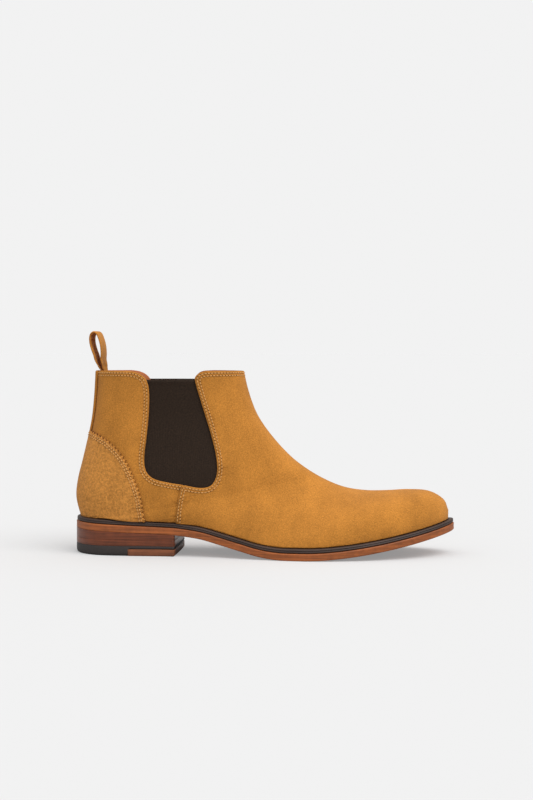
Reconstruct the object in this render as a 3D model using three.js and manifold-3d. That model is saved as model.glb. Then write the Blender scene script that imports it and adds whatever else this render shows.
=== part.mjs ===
// A right-foot chelsea boot, European size 42, as the stack of leather, elastic, cork and steel
// pieces that it is. Millimetres, +Z up. It stands on z = 0 with its toe towards +X; its outer side
// faces -Y and its inner side +Y. The upper, its linings and its stiffeners are layers of one last:
// each layer lies between two offsets of it.
import * as THREE from "three";
import { mergeVertices } from "three/addons/utils/BufferGeometryUtils.js";
import Module from "manifold-3d";

const wasm = await Module();
wasm.setup();

// ---- overall sizes --------------------------------------------------------------------------
const LENGTH = 300; // the outsole, heel to toe
const WIDTH = 105; // the outsole across the ball
const COLLAR_HEIGHT = 144; // ground to the top edge of the shaft
const HEEL_HEIGHT = 16.6; // ground to the outsole at the heel's front face
const HEEL_PITCH = 3.2; // how much higher the outsole lies at the back of the heel
const TOE_SPRING = 19.3; // how far the outsole rises at the toe

// ---- the bottom -----------------------------------------------------------------------------
const SOLE_THICKNESS = 5.5;
const WELT_THICKNESS = 3.3;
const WELT_SET_BACK = 0.5; // the welt's edge lies this far inside the outsole's edge
const WELT_REACH = 12; // how far the welt runs in under the upper
const LASTING_MARGIN = 14; // how far the upper and the lining turn in under the insole board
const INSOLE_THICKNESS = 2.2;
const INSOLE_CLEARANCE = 0.8; // how much smaller the insole board is cut than the room inside the lining
const HEEL_PAD_THICKNESS = 2.2;
const SOCK_THICKNESS = 1;
const SHANK = { width: 14, thickness: 1.2, back: -112, front: -6 };

// ---- the heel -------------------------------------------------------------------------------
const HEEL_BREAST = -67.4; // the heel's front face
const RUBBER_HEIGHT = 7.6; // the rubber, from the ground
const FRONT_BLOCK = { back: -103.8, height: 5 }; // the leather block let into the front of the rubber
const LOWER_LIFT_TOP = 12.2;
const HEEL_NAIL = { radius: 1, into_lift: 1.5 };
const BLOCK_PIN = { radius: 0.8, recess: 0.4, length: 10.4 };

// ---- the upper ------------------------------------------------------------------------------
const UPPER_THICKNESS = 1.6;
const LINING_THICKNESS = 1.2;
const COUNTER_THICKNESS = 1.5;
const TOE_PUFF_THICKNESS = 1.2;
const PATCH_THICKNESS = 1.5;
const STRIP = { thickness: 1.4, top_half_width: 10, bottom_half_width: 7.5 };
const GORE = { thickness: 1.2, flange: 5, top: 137 };
const INNER_SIDE_SHIFT = -5; // the inner gore and seam sit this much further back than the outer ones

// ---- the pull tab ---------------------------------------------------------------------------
const TAB = { width: 20, thickness: 1.7, rise: 31.3, turn_deg: -4, tail: 26 };
const TAB_AXIS_X = -130.3;
const TAB_ROOT_RADIUS = 2.4;

const GAP = 0.3; // between any two pieces that touch
const FAR = 400; // longer than the boot, for tools that cut right through

// ---- grading: the tables below are the size 42 pattern, stretched to the sizes above --------
const PATTERN_LENGTH = 300;
const PATTERN_WIDTH = 105;
const PATTERN_COLLAR_HEIGHT = 144;
const along = (x) => (x * LENGTH) / PATTERN_LENGTH;
const across = (y) => (y * WIDTH) / PATTERN_WIDTH;
const above = (z) => (z * COLLAR_HEIGHT) / PATTERN_COLLAR_HEIGHT;

const smoothstep = THREE.MathUtils.smoothstep;

// A smooth function through [x, y] stations: cubic pieces, with slopes from the stations around.
function through(stations) {
  const last = stations.length - 1;
  const slope = stations.map((_, i) => {
    const a = stations[Math.max(i - 1, 0)];
    const b = stations[Math.min(i + 1, last)];
    return (b[1] - a[1]) / (b[0] - a[0]);
  });
  return (x) => {
    const at = THREE.MathUtils.clamp(x, stations[0][0], stations[last][0]);
    let i = stations.findIndex((s, n) => n > 0 && at <= s[0]) - 1;
    i = Math.max(i, 0);
    const [x0, y0] = stations[i];
    const [x1, y1] = stations[i + 1];
    const w = x1 - x0;
    const t = (at - x0) / w;
    const rise = slope[i] * w * t * (1 - t) ** 2 - slope[i + 1] * w * t * t * (1 - t);
    return y0 + (y1 - y0) * t * t * (3 - 2 * t) + rise;
  };
}

const numbered = (values) => through(values.map((value, i) => [i, value]));

// ---- the line of the sole -------------------------------------------------------------------
// The share of the heel's height behind the ball, and of the toe spring in front of it.
const heelShare = through(
  [
    [-67, 1], [-47, 0.84], [-31, 0.6], [-15, 0.35], [0, 0.127], [15, 0.012], [30, 0],
  ].map(([x, share]) => [along(x), share]),
);
const BALL_END = along(35);
function soleHeight(x) {
  const behind = Math.max(along(-67) - x, 0) / (LENGTH / 2 + along(-67));
  const ahead = Math.max(x - BALL_END, 0) / (LENGTH / 2 - BALL_END);
  return HEEL_HEIGHT * heelShare(x) + HEEL_PITCH * behind + TOE_SPRING * ahead ** 1.65;
}
const soleTop = (x) => soleHeight(x) + SOLE_THICKNESS;
const weltTop = (x) => soleTop(x) + GAP + WELT_THICKNESS;
const featherHeight = (x) => weltTop(x) + GAP; // the underside of the upper
const UNDERCUT = 2; // the last's edge lies this far below the featherline, so that each layer is cut from it
const edgeHeight = (x) => featherHeight(x) - UNDERCUT;

// ---- outlines seen from above ---------------------------------------------------------------
// Each has 13 stations, at equal angles round half a circle on its length, so both ends come out round.
const STATIONS = 12;
const SOLE_OUTLINE = {
  back: -LENGTH / 2,
  front: LENGTH / 2,
  outer: numbered([2.5, -14.5, -27.5, -31, -31.5, -36.5, -46.5, -52.4, -48.5, -38, -24, -8, 8].map(across)),
  inner: numbered([2.5, 19, 31.5, 33.5, 32, 31, 40, 50.8, 50.6, 43.5, 33, 22.5, 8].map(across)),
};
const FEATHER_OUTLINE = {
  back: -LENGTH / 2 + 5.7,
  front: LENGTH / 2 - 4.5,
  outer: numbered([2, -13.5, -25.5, -28, -28.5, -33, -43, -48.6, -45, -35.2, -21.5, -6.3, 7.5].map(across)),
  inner: numbered([2, 17, 28.5, 30, 29, 27.5, 36, 47, 46.8, 39.8, 29.8, 20.3, 7.5].map(across)),
};

// The point of an outline at station k; side is -1 for the outer edge and 1 for the inner one.
function outlinePoint(outline, side, k) {
  const middle = (outline.back + outline.front) / 2;
  const half = (outline.front - outline.back) / 2;
  const x = middle - half * Math.cos((k / STATIONS) * Math.PI);
  return new THREE.Vector2(x, (side < 0 ? outline.outer : outline.inner)(k));
}

// A closed outline, moved in by `inset`, as points that run heel, outer edge, toe, inner edge.
function outlinePoints(outline, inset, steps = 18) {
  const points = [];
  for (let i = 0; i < 2 * steps; i++) {
    const side = i < steps ? -1 : 1;
    const k = (STATIONS * (side < 0 ? i : 2 * steps - i)) / steps;
    const here = outlinePoint(outline, side, k);
    const step = 0.02;
    const before = outlinePoint(outline, side, Math.max(k - step, 0));
    const after = outlinePoint(outline, side, Math.min(k + step, STATIONS));
    const run = after.sub(before).normalize().multiplyScalar(-side);
    points.push(new THREE.Vector2(here.x - run.y * inset, here.y + run.x * inset));
  }
  return points;
}

// ---- the last -------------------------------------------------------------------------------
// The last is a fan of sections. In side view each is a straight line from a point of the ridge
// (collar, instep, toe) to a point of the edge (down the back seam to the heel, then forward along
// the featherline to the toe).
const CORNER = 8; // the section that meets the corner between the back seam and the featherline
const SECTIONS = CORNER + STATIONS;
const BACK_SEAM = [
  [-132.5, 154], [-132.9, 143.2], [-134, 124.5], [-135.9, 106.5], [-139.3, 89.5],
  [-143.5, 72], [-147.2, 57], [-148.3, 43],
];
const RIDGE = [
  [-18, 154], [-16, 144], [-12.4, 128.5], [-6.5, 112], [1, 99.5],
  [11, 87], [20, 77.6], [27, 71.6], [34, 66.6], [38, 64],
  [42, 61.6], [47, 58.9], [53, 56], [60.5, 53], [70, 50.6],
  [83, 49.2], [98, 49.4], [114, 50.3], [130, 49.2], [141.6, 42.8],
  [145.6, 34],
];
const ridgeX = numbered(RIDGE.map(([x]) => along(x)));
const ridgeZ = numbered(RIDGE.map(([, z]) => above(z)));
const backX = numbered([...BACK_SEAM.map(([x]) => along(x)), FEATHER_OUTLINE.back]);
const backZ = numbered([...BACK_SEAM.map(([, z]) => above(z)), edgeHeight(FEATHER_OUTLINE.back)]);
const ridgeY = numbered(
  [2, 2, 2, 2, 2, 2, 2, 2, 2, 2.2, 2.6, 3.2, 4, 5, 6, 7, 7.6, 7.8, 7.8, 7.6, 7.5].map(across),
);
const outerHalf = numbered([
  29, 29, 28.5, 28.5, 29.5, 31, 32.4, 33.3, 34, 34.5, 35,
  36.5, 39, 43.5, 50, 56.2, 53.2, 43.7, 29.9, 14.5, 0,
].map(across));
const innerHalf = numbered([
  29, 29, 28.5, 28.5, 29.5, 31, 32.6, 33.8, 34.5, 35, 35.5,
  35.5, 35, 36, 38.5, 42, 40, 32.8, 22.7, 13.3, 0,
].map(across));
// How square the section is at the ridge and at the edge: larger is rounder at the end and
// flatter at the side.
const ridgeRound = numbered(
  [4.8, 4.8, 4.7, 4.6, 4.5, 4.4, 4.3, 4.1, 3.9, 3.6, 3.3, 3, 2.7, 2.4, 2.2, 2.1, 2.1, 2.2, 2.2, 2.2, 2.2],
);
const edgeRound = numbered(
  [5.3, 5.3, 5.5, 6, 6.8, 7.5, 8, 8.4, 8.4, 8, 7, 6, 5, 4, 3.5, 3, 3, 3, 3, 3, 3],
);

// The end of section k in side view.
function sectionEdge(k) {
  if (k <= CORNER) return [backX(k), backZ(k)];
  const x = outlinePoint(FEATHER_OUTLINE, -1, k - CORNER).x;
  return [x, edgeHeight(x)];
}

// A point of the last: k counts the sections, v runs from -1 (outer edge) over 0 (ridge) to 1 (inner edge).
function lastPoint(k, v) {
  const s = (1 - Math.cos(Math.PI * Math.abs(v))) / 2;
  const side = v < 0 ? -1 : 1;
  const [edgeX, edgeZ] = sectionEdge(k);
  const half = (side < 0 ? outerHalf : innerHalf)(k);
  let closing = 1;
  if (k > CORNER && half > 0) {
    const edgeHalf = side * (outlinePoint(FEATHER_OUTLINE, side, k - CORNER).y - ridgeY(k));
    closing = 1 - (edgeHalf / half) ** 2;
  }
  const bulge = (1 - (1 - s) ** ridgeRound(k)) * (1 - closing * s ** edgeRound(k));
  return new THREE.Vector3(
    THREE.MathUtils.lerp(ridgeX(k), edgeX, s),
    ridgeY(k) + side * half * Math.sqrt(Math.max(bulge, 0)),
    THREE.MathUtils.lerp(ridgeZ(k), edgeZ, s),
  );
}

// The way out of the last at (k, v). Both sides share it on the back seam, on the ridge and at the toe.
function slopeNormal(k, v) {
  const step = 0.01;
  const kAt = Math.min(k, SECTIONS - 3 * step);
  const vAt = THREE.MathUtils.clamp(v, -1 + 2 * step, 1 - 2 * step);
  const alongK = lastPoint(kAt + step, vAt).sub(lastPoint(Math.max(kAt - step, 0), vAt));
  const alongV = lastPoint(kAt, vAt + step).sub(lastPoint(kAt, vAt - step));
  return alongK.cross(alongV).normalize();
}
function lastNormal(k, v) {
  const out = slopeNormal(k, v);
  const shared = (Math.abs(v) === 1 && k <= CORNER) || v === 0 || k === SECTIONS;
  if (shared) out.add(slopeNormal(k, -v)).setY(0);
  return out.normalize();
}

// ---- solids ---------------------------------------------------------------------------------
// A closed geometry as a solid that can be joined and cut.
function solidOf(geometry) {
  const bare = geometry.clone();
  bare.deleteAttribute("normal");
  bare.deleteAttribute("uv");
  const merged = mergeVertices(bare, 1e-3);
  return new wasm.Manifold(
    new wasm.Mesh({
      numProp: 3,
      vertProperties: new Float32Array(merged.attributes.position.array),
      triVerts: new Uint32Array(merged.index.array),
    }),
  );
}

function geometryOf(solid) {
  const mesh = solid.getMesh();
  const geometry = new THREE.BufferGeometry();
  geometry.setAttribute("position", new THREE.BufferAttribute(mesh.vertProperties, 3));
  geometry.setIndex(new THREE.BufferAttribute(mesh.triVerts, 1));
  geometry.computeVertexNormals();
  return geometry;
}

const joined = (...solids) => solids.reduce((a, b) => a.add(b));

// The last grown outwards by offset(point), or shrunk where it is negative, and reaching 9 mm below the
// featherline, so that a cut can give it its bottom.
const SKIRT = 9;
const HALF_COLUMNS = 9;
const FOOT_ROWS = 18;
const ROW_SECTIONS = [
  ...Array.from({ length: CORNER }, (_, i) => i),
  ...Array.from({ length: FOOT_ROWS + 1 }, (_, i) => CORNER + (STATIONS * i) / FOOT_ROWS),
];
function grownLast(offset) {
  const rows = ROW_SECTIONS.length - 1;
  const columns = 2 * HALF_COLUMNS;
  const perRow = columns + 3; // the surface's columns, and one skirt point at each end
  const positions = [];
  for (let row = 0; row <= rows; row++) {
    const k = ROW_SECTIONS[row];
    const surface = [];
    for (let column = 0; column <= columns; column++) {
      const v = column / HALF_COLUMNS - 1;
      const point = lastPoint(k, v);
      surface.push(point.addScaledVector(lastNormal(k, v), offset(point)));
    }
    const drop = k > CORNER ? SKIRT : 0;
    const skirtPoint = (p) => new THREE.Vector3(p.x, p.y, p.z - drop);
    for (const p of [skirtPoint(surface[0]), ...surface, skirtPoint(surface[columns])])
      positions.push(p.x, p.y, p.z);
  }
  const index = [];
  const quad = (a, b, c, d) => index.push(a, c, b, a, d, c);
  for (let row = 0; row < rows; row++)
    for (let column = 0; column < perRow - 1; column++) {
      const a = row * perRow + column;
      quad(a, a + 1, a + 1 + perRow, a + perRow);
    }
  for (let row = CORNER; row < rows; row++) {
    const a = row * perRow;
    quad(a, a + perRow, a + 2 * perRow - 1, a + perRow - 1);
  }
  for (let column = 1; column <= HALF_COLUMNS; column++)
    quad(column, perRow - 1 - column, perRow - 2 - column, column + 1);
  const geometry = new THREE.BufferGeometry();
  geometry.setAttribute("position", new THREE.Float32BufferAttribute(positions, 3));
  geometry.setIndex(index);
  return solidOf(withoutFlatTriangles(geometry));
}

// The same geometry with shared points merged and the triangles that fell flat in that merge dropped.
function withoutFlatTriangles(geometry) {
  const merged = mergeVertices(geometry, 1e-3);
  const old = merged.index.array;
  const kept = [];
  for (let i = 0; i < old.length; i += 3) {
    const [a, b, c] = [old[i], old[i + 1], old[i + 2]];
    if (a !== b && b !== c && c !== a) kept.push(a, b, c);
  }
  merged.setIndex(kept);
  return merged;
}

function extruded(points, depth) {
  const shape = new THREE.Shape(points);
  return new THREE.ExtrudeGeometry(shape, { depth, bevelEnabled: false });
}

// An outline seen from the side, as [x, z] points, pushed through from y0 to y1.
function sidePrism(points, y0 = -FAR / 2, y1 = FAR / 2) {
  const outline = points.map(([x, z]) => new THREE.Vector2(x, z));
  return solidOf(extruded(outline, y1 - y0).rotateX(Math.PI / 2).translate(0, y1, 0));
}

// An outline seen from above, pushed up from z0 to z1.
function planPrism(points, z0 = -FAR / 2, z1 = FAR / 2) {
  return solidOf(extruded(points, z1 - z0).translate(0, 0, z0));
}

// Everything between two heights that change along the boot: a row of four corners at each step, skinned.
function slab(bottom, top) {
  const steps = 26;
  const reach = 0.55 * LENGTH;
  const positions = [];
  for (let i = 0; i <= steps; i++) {
    const x = reach * ((2 * i) / steps - 1);
    positions.push(x, -reach, bottom(x), x, reach, bottom(x), x, reach, top(x), x, -reach, top(x));
  }
  const index = [0, 3, 2, 0, 2, 1];
  for (let i = 0; i < steps; i++)
    for (let corner = 0; corner < 4; corner++) {
      const a = 4 * i + corner;
      const b = 4 * i + ((corner + 1) % 4);
      index.push(a, b, b + 4, a, b + 4, a + 4);
    }
  const end = 4 * steps;
  index.push(end, end + 1, end + 2, end, end + 2, end + 3);
  const geometry = new THREE.BufferGeometry();
  geometry.setAttribute("position", new THREE.Float32BufferAttribute(positions, 3));
  geometry.setIndex(index);
  return solidOf(geometry);
}

const behind = (x) => sidePrism([[-FAR, -FAR], [x, -FAR], [x, FAR], [-FAR, FAR]]);
const ahead = (x) => sidePrism([[x, -FAR], [FAR, -FAR], [FAR, FAR], [x, FAR]]);
const aboveLine = (height) => slab(height, () => FAR / 2);

// Points along a smooth curve through the given [x, z] points.
function smooth(points, perPoint = 3) {
  const curve = new THREE.SplineCurve(points.map(([x, z]) => new THREE.Vector2(x, z)));
  return curve.getPoints(perPoint * (points.length - 1)).map((p) => [p.x, p.y]);
}

const graded = (points) => points.map(([x, z]) => [along(x), above(z)]);

// ---- the layers -----------------------------------------------------------------------------
const steady = (offset) => () => offset;
const liningOffset = (p) => {
  const overCounter = smoothstep(along(-92) - p.x, 0, 12) * smoothstep(above(96) - p.z, 0, 14);
  const underPuff = smoothstep(p.x, along(96), along(108));
  return -(UPPER_THICKNESS + GAP + (COUNTER_THICKNESS + GAP) * overCounter
    + (TOE_PUFF_THICKNESS + GAP) * underPuff);
};
const upperOut = grownLast(steady(0));
const upperIn = grownLast(steady(-UPPER_THICKNESS));
const liningOut = grownLast(liningOffset);
const liningIn = grownLast((p) => liningOffset(p) - LINING_THICKNESS);
const marginTop = (x) => featherHeight(x) + UPPER_THICKNESS;
const liningMarginTop = (x) => marginTop(x) + GAP + LINING_THICKNESS;

// A shell: what lies between two offsets of the last above the lower height, closed at the bottom up to the
// higher one, with a window through that bottom.
const marginWindow = planPrism(outlinePoints(FEATHER_OUTLINE, LASTING_MARGIN));
function shell(outside, inside, bottom, bottomTop) {
  return outside
    .intersect(aboveLine(bottom))
    .subtract(inside.intersect(aboveLine(bottomTop)))
    .subtract(marginWindow.intersect(slab(() => -FAR / 2, (x) => bottomTop(x) + 1)));
}
const belowCollar = sidePrism([[-FAR, -FAR], [FAR, -FAR], [FAR, COLLAR_HEIGHT], [-FAR, COLLAR_HEIGHT]]);
const liningBottom = (x) => marginTop(x) + GAP;
const upperShell = shell(upperOut, upperIn, featherHeight, marginTop).intersect(belowCollar);
const liningShell = shell(liningOut, liningIn, liningBottom, liningMarginTop).intersect(belowCollar);

// ---- the seams, seen from the side ----------------------------------------------------------
const SIDE_SEAM = graded([[-60, 170], [-60, 56], [-62.6, 52], [-64.8, 40.8], [-66.6, 24], [-68, -20]]);
const GORE_OPENING = graded([
  [-104, 144.3], [-97.5, 143], [-92, 140.3], [-88.4, 137], [-86.6, 128], [-86.8, 112], [-88.4, 94],
  [-90.3, 76], [-89, 66.4], [-83.5, 60.4], [-72, 57.2], [-60, 55.6], [-47, 53.4], [-39, 55.2],
  [-34.6, 63], [-34.6, 75], [-38.6, 92.4], [-44.8, 112.5], [-51.2, 134], [-51.6, 139],
  [-47, 143], [-38, 144.3],
]);
const GORE_EDGE = GORE_OPENING.slice(3, 19);
const CENTRE_Y = across(2);

// An outline that is open at the top, closed far above the boot and shifted along it.
function openedUp(points, shift) {
  const ends = [[points.at(-1)[0], FAR / 2], [points[0][0], FAR / 2]];
  return [...points, ...ends].map(([x, z]) => [x + shift, z]);
}

// The gore's own outline: the opening's edge, moved out by the flange that is sewn under the leather.
function movedOut(points, distance) {
  return points.map(([x, z], i) => {
    const [ax, az] = points[Math.max(i - 1, 0)];
    const [bx, bz] = points[Math.min(i + 1, points.length - 1)];
    const run = Math.hypot(bx - ax, bz - az);
    return [x + ((bz - az) / run) * distance, z - ((bx - ax) / run) * distance];
  });
}

const sides = {
  outer: { shift: 0, y0: -FAR / 2, y1: CENTRE_Y },
  inner: { shift: INNER_SIDE_SHIFT, y0: CENTRE_Y, y1: FAR / 2 },
};
const backSeamGap = sidePrism(
  [[-FAR, -FAR], [FAR, -FAR], [FAR, FAR], [-FAR, FAR]],
  CENTRE_Y - GAP / 2,
  CENTRE_Y + GAP / 2,
);
for (const side of Object.values(sides)) {
  const { shift, y0, y1 } = side;
  const prism = (points) => sidePrism(points, y0, y1);
  const seam = SIDE_SEAM.map(([x, z]) => [x + shift, z]);
  const behindSeam = seam.map(([x, z]) => [x - GAP, z]).reverse();
  const flange = (extra) => movedOut(smooth(GORE_EDGE), GORE.flange + extra);
  side.front = prism([...seam, [FAR, -FAR / 4], [FAR, FAR / 2]]);
  side.rear = prism([[-FAR, FAR / 2], [-FAR, -FAR / 4], ...behindSeam]);
  side.opening = prism(openedUp(smooth(GORE_OPENING), shift));
  side.flange = prism(openedUp(flange(0), shift));
  side.flangeRoom = prism(openedUp(flange(GAP), shift));
}
const front = joined(sides.outer.front, sides.inner.front);
const goreOpenings = joined(sides.outer.opening, sides.inner.opening);
const flangeRooms = joined(sides.outer.flangeRoom, sides.inner.flangeRoom);

// ---- the parts ------------------------------------------------------------------------------
const MATERIALS = {
  suede: { color: 0xb8793a, roughness: 0.95 },
  patch_suede: { color: 0xbb7f3c, roughness: 0.95 },
  elastic: { color: 0x362820, roughness: 0.9 },
  lining: { color: 0xa8764a, roughness: 0.7 },
  stiffener: { color: 0xd8cdb8, roughness: 0.9 },
  board: { color: 0xb99872, roughness: 0.9 },
  cork: { color: 0x9a7448, roughness: 1 },
  steel: { color: 0x9a9ea2, roughness: 0.4, metalness: 1 },
  brass: { color: 0xc09a50, roughness: 0.35, metalness: 1 },
  welt: { color: 0x48362f, roughness: 0.6 },
  sole_leather: { color: 0x955533, roughness: 0.45 },
  heel_leather: { color: 0x75442f, roughness: 0.4 },
  rubber: { color: 0x403937, roughness: 0.7 },
};
const materials = Object.fromEntries(
  Object.entries(MATERIALS).map(([name, look]) => [name, new THREE.MeshStandardMaterial(look)]),
);
const boot = new THREE.Group();
function place(name, solid, material) {
  const mesh = new THREE.Mesh(geometryOf(solid), materials[material]);
  mesh.name = name;
  boot.add(mesh);
}

// -- the outer leather, the elastic and the linings
const counterRegion = sidePrism(graded([
  [-FAR / 2, 82], [-140, 82], [-124, 76], [-112, 64], [-106, 50], [-104, -20], [-FAR / 2, -20],
]));
const heelLiningEdge = graded([[-138, 100], [-120, 92], [-104, 76], [-97, 56], [-96, -20]]);
const heelLiningTop = heelLiningEdge[0][1];
const heelLiningFoot = heelLiningEdge.at(-1)[1];
const heelLiningRegion = sidePrism(
  [[-FAR / 2, heelLiningTop], ...heelLiningEdge, [-FAR / 2, heelLiningFoot]],
);
const heelLiningRoom = sidePrism(
  [...movedOut(heelLiningEdge, -GAP), [-FAR / 2, heelLiningFoot], [-FAR / 2, heelLiningTop + GAP]],
);
const belowGoreTop = sidePrism([
  [-FAR, -FAR], [FAR, -FAR], [FAR, above(GORE.top)], [-FAR, above(GORE.top)],
]);
const goreLayer = grownLast(steady(-UPPER_THICKNESS - GAP))
  .subtract(grownLast(steady(-UPPER_THICKNESS - GAP - GORE.thickness)));

place("vamp", upperShell.intersect(front).subtract(goreOpenings), "suede");
place("vamp_lining", liningShell.intersect(front).subtract(flangeRooms), "lining");
for (const [name, side] of Object.entries(sides)) {
  const rear = side.rear.subtract(backSeamGap);
  place(`quarter_${name}`, upperShell.intersect(rear).subtract(side.opening), "suede");
  const lining = liningShell.intersect(rear).subtract(side.flangeRoom).subtract(heelLiningRoom);
  place(`quarter_lining_${name}`, lining, "lining");
  place(`gore_${name}`, goreLayer.intersect(side.flange).intersect(belowGoreTop), "elastic");
}
place("heel_lining", liningShell.intersect(heelLiningRegion), "lining");

// -- the stiffeners between the leather and the lining
const between = grownLast(steady(-UPPER_THICKNESS - GAP))
  .subtract(grownLast((p) => liningOffset(p) + GAP))
  .intersect(aboveLine(liningBottom));
place("heel_counter", between.intersect(counterRegion), "stiffener");
const puffRegion = sidePrism([[along(108), -20], [FAR, -20], [FAR, FAR], [along(108), FAR]]);
place("toe_puff", between.intersect(puffRegion), "stiffener");

// -- the pieces sewn on outside: the heel patch and the strip over the back seam
const patchEdge = graded([
  [-160, 98], [-139.6, 98], [-130.6, 94.9], [-119.5, 89.2],
  [-107.6, 77.9], [-98.4, 61.9], [-92.2, 44.2], [-88.5, 20],
]);
const patchFoot = [patchEdge[0][0], patchEdge.at(-1)[1]];
const patchRegion = sidePrism([...smooth(patchEdge), patchFoot]);
const patchRoom = sidePrism([...movedOut(smooth(patchEdge), -GAP), [patchFoot[0] - GAP, patchFoot[1]]]);
const patchOut = grownLast(steady(GAP + PATCH_THICKNESS));
const patchIn = grownLast(steady(GAP));
const patchLayer = patchOut.subtract(patchIn).intersect(aboveLine(featherHeight));
place("heel_patch", patchLayer.intersect(patchRegion), "patch_suede");
const stripFoot = above(90); // hidden by the heel patch's room, which cuts the strip
const stripFront = new THREE.Shape([
  new THREE.Vector2(CENTRE_Y - STRIP.bottom_half_width, stripFoot),
  new THREE.Vector2(CENTRE_Y + STRIP.bottom_half_width, stripFoot),
  new THREE.Vector2(CENTRE_Y + STRIP.top_half_width, COLLAR_HEIGHT),
  new THREE.Vector2(CENTRE_Y - STRIP.top_half_width, COLLAR_HEIGHT),
]);
const facingX = new THREE.Matrix4().makeBasis(
  new THREE.Vector3(0, 1, 0), new THREE.Vector3(0, 0, 1), new THREE.Vector3(1, 0, 0),
);
const stripReach = [along(-165), along(-105)]; // past the back seam on both sides
const stripTool = solidOf(
  new THREE.ExtrudeGeometry(stripFront, { depth: stripReach[1] - stripReach[0], bevelEnabled: false })
    .applyMatrix4(facingX)
    .translate(stripReach[0], 0, 0),
);
const stripLayer = grownLast(steady(GAP + STRIP.thickness)).subtract(patchIn);
place("back_strip", stripLayer.intersect(stripTool).subtract(patchRoom), "suede");

// -- the pull tab: a strap folded into a loop, sewn down over the back seam outside and on the lining inside
const tabAxisZ = COLLAR_HEIGHT + GAP + TAB_ROOT_RADIUS;
const loopHeight = COLLAR_HEIGHT + TAB.rise - tabAxisZ;
const tabX = along(TAB_AXIS_X);
// The loop's outer face in side view, up the back leg and down the front one, as
// [beside the axis, share of height].
const LOOP = [
  [-2.5, 0.17], [-3.8, 0.33], [-5.9, 0.48], [-7.5, 0.7], [-7.6, 0.86], [-6.3, 0.955], [-3.8, 1],
  [-1.4, 0.955], [0.5, 0.82], [1.8, 0.63], [2.6, 0.38], [2.5, 0.17],
];
const loopOutside = smooth([
  [tabX - TAB_ROOT_RADIUS, tabAxisZ],
  ...LOOP.map(([x, share]) => [tabX + x, tabAxisZ + share * loopHeight]),
  [tabX + TAB_ROOT_RADIUS, tabAxisZ],
], 2);
const LOOP_HOLE_FROM = 0.28; // share of the loop's height below which its two legs lie together
const loopHole = movedOut(loopOutside, TAB.thickness)
  .filter(([, z]) => z > tabAxisZ + LOOP_HOLE_FROM * loopHeight);
const tabSpan = [CENTRE_Y - TAB.width / 2, CENTRE_Y + TAB.width / 2];
const rootArc = Array.from({ length: 7 }, (_, i) => {
  const angle = -Math.PI * ((i + 1) / 8);
  return [tabX + TAB_ROOT_RADIUS * Math.cos(angle), tabAxisZ + TAB_ROOT_RADIUS * Math.sin(angle)];
});
const turned = new THREE.Matrix4()
  .makeTranslation(tabX, CENTRE_Y, 0)
  .multiply(new THREE.Matrix4().makeRotationZ(THREE.MathUtils.degToRad(TAB.turn_deg)))
  .multiply(new THREE.Matrix4().makeTranslation(-tabX, -CENTRE_Y, 0));
const loop = sidePrism([...loopOutside, ...rootArc], ...tabSpan);
place("pull_tab", loop.subtract(sidePrism(loopHole)).transform(turned.elements), "suede");
const tailTool = sidePrism(
  [[-140, 0], [-110, 0], [-110, TAB.tail], [-140, TAB.tail]]
    .map(([x, z]) => [along(x), COLLAR_HEIGHT - TAB.tail + z]),
  ...tabSpan,
);
const insideLining = (p) => liningOffset(p) - LINING_THICKNESS - GAP;
const tailLayer = grownLast(insideLining).subtract(grownLast((p) => insideLining(p) - TAB.thickness));
place("pull_tab_tail", tailLayer.intersect(tailTool), "suede");

// -- inside the bottom
const insideWall = UPPER_THICKNESS + COUNTER_THICKNESS + LINING_THICKNESS + 3 * GAP;
const insoleRoom = planPrism(outlinePoints(FEATHER_OUTLINE, insideWall + INSOLE_CLEARANCE))
  .intersect(grownLast(insideLining));
const insoleBottom = (x) => liningMarginTop(x) + GAP;
const insoleTop = (x) => insoleBottom(x) + INSOLE_THICKNESS;
place("insole_board", insoleRoom.intersect(slab(insoleBottom, insoleTop)), "board");
const padFront = along(-62);
const padTaper = 14;
const padRoom = (x) => (HEEL_PAD_THICKNESS + GAP) * (1 - smoothstep(x, padFront - padTaper, padFront));
const padBottom = (x) => insoleTop(x) + GAP;
const PAD_EDGE = 0.01; // the pad's thickness where it tapers out
const padTop = (x) => insoleTop(x) + Math.max(padRoom(x), GAP + PAD_EDGE);
const padTool = planPrism(outlinePoints(FEATHER_OUTLINE, LASTING_MARGIN))
  .intersect(behind(padFront - padTaper / 2));
place("heel_pad", padTool.intersect(slab(padBottom, padTop)), "stiffener");
const sockBottom = (x) => insoleTop(x) + GAP + padRoom(x);
const sockTop = (x) => sockBottom(x) + SOCK_THICKNESS;
place("sock_liner", insoleRoom.intersect(slab(sockBottom, sockTop)), "lining");

const shankShape = (grow) => {
  const half = SHANK.width / 2 + grow;
  const back = along(SHANK.back) - grow;
  const frontEnd = along(SHANK.front) + grow;
  const shape = new THREE.Shape();
  shape.absarc(back + half, CENTRE_Y, half, Math.PI / 2, (Math.PI * 3) / 2, false);
  shape.absarc(frontEnd - half, CENTRE_Y, half, -Math.PI / 2, Math.PI / 2, false);
  return shape.getPoints(4);
};
const shankTop = (x) => insoleBottom(x) - GAP;
const shankBottom = (x) => shankTop(x) - SHANK.thickness;
const fillerOutline = outlinePoints(FEATHER_OUTLINE, LASTING_MARGIN + GAP);
place("shank", planPrism(shankShape(0)).intersect(slab(shankBottom, shankTop)), "steel");
const filler = planPrism(fillerOutline)
  .intersect(slab((x) => soleTop(x) + GAP, shankTop))
  .subtract(planPrism(shankShape(GAP)).intersect(aboveLine((x) => shankBottom(x) - GAP)));

// -- the welt, the outsole and the heel
const weltRing = planPrism(outlinePoints(SOLE_OUTLINE, WELT_SET_BACK))
  .subtract(planPrism(outlinePoints(FEATHER_OUTLINE, WELT_REACH)))
  .intersect(slab((x) => soleTop(x) + GAP, weltTop));
place("welt", weltRing, "welt");

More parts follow.
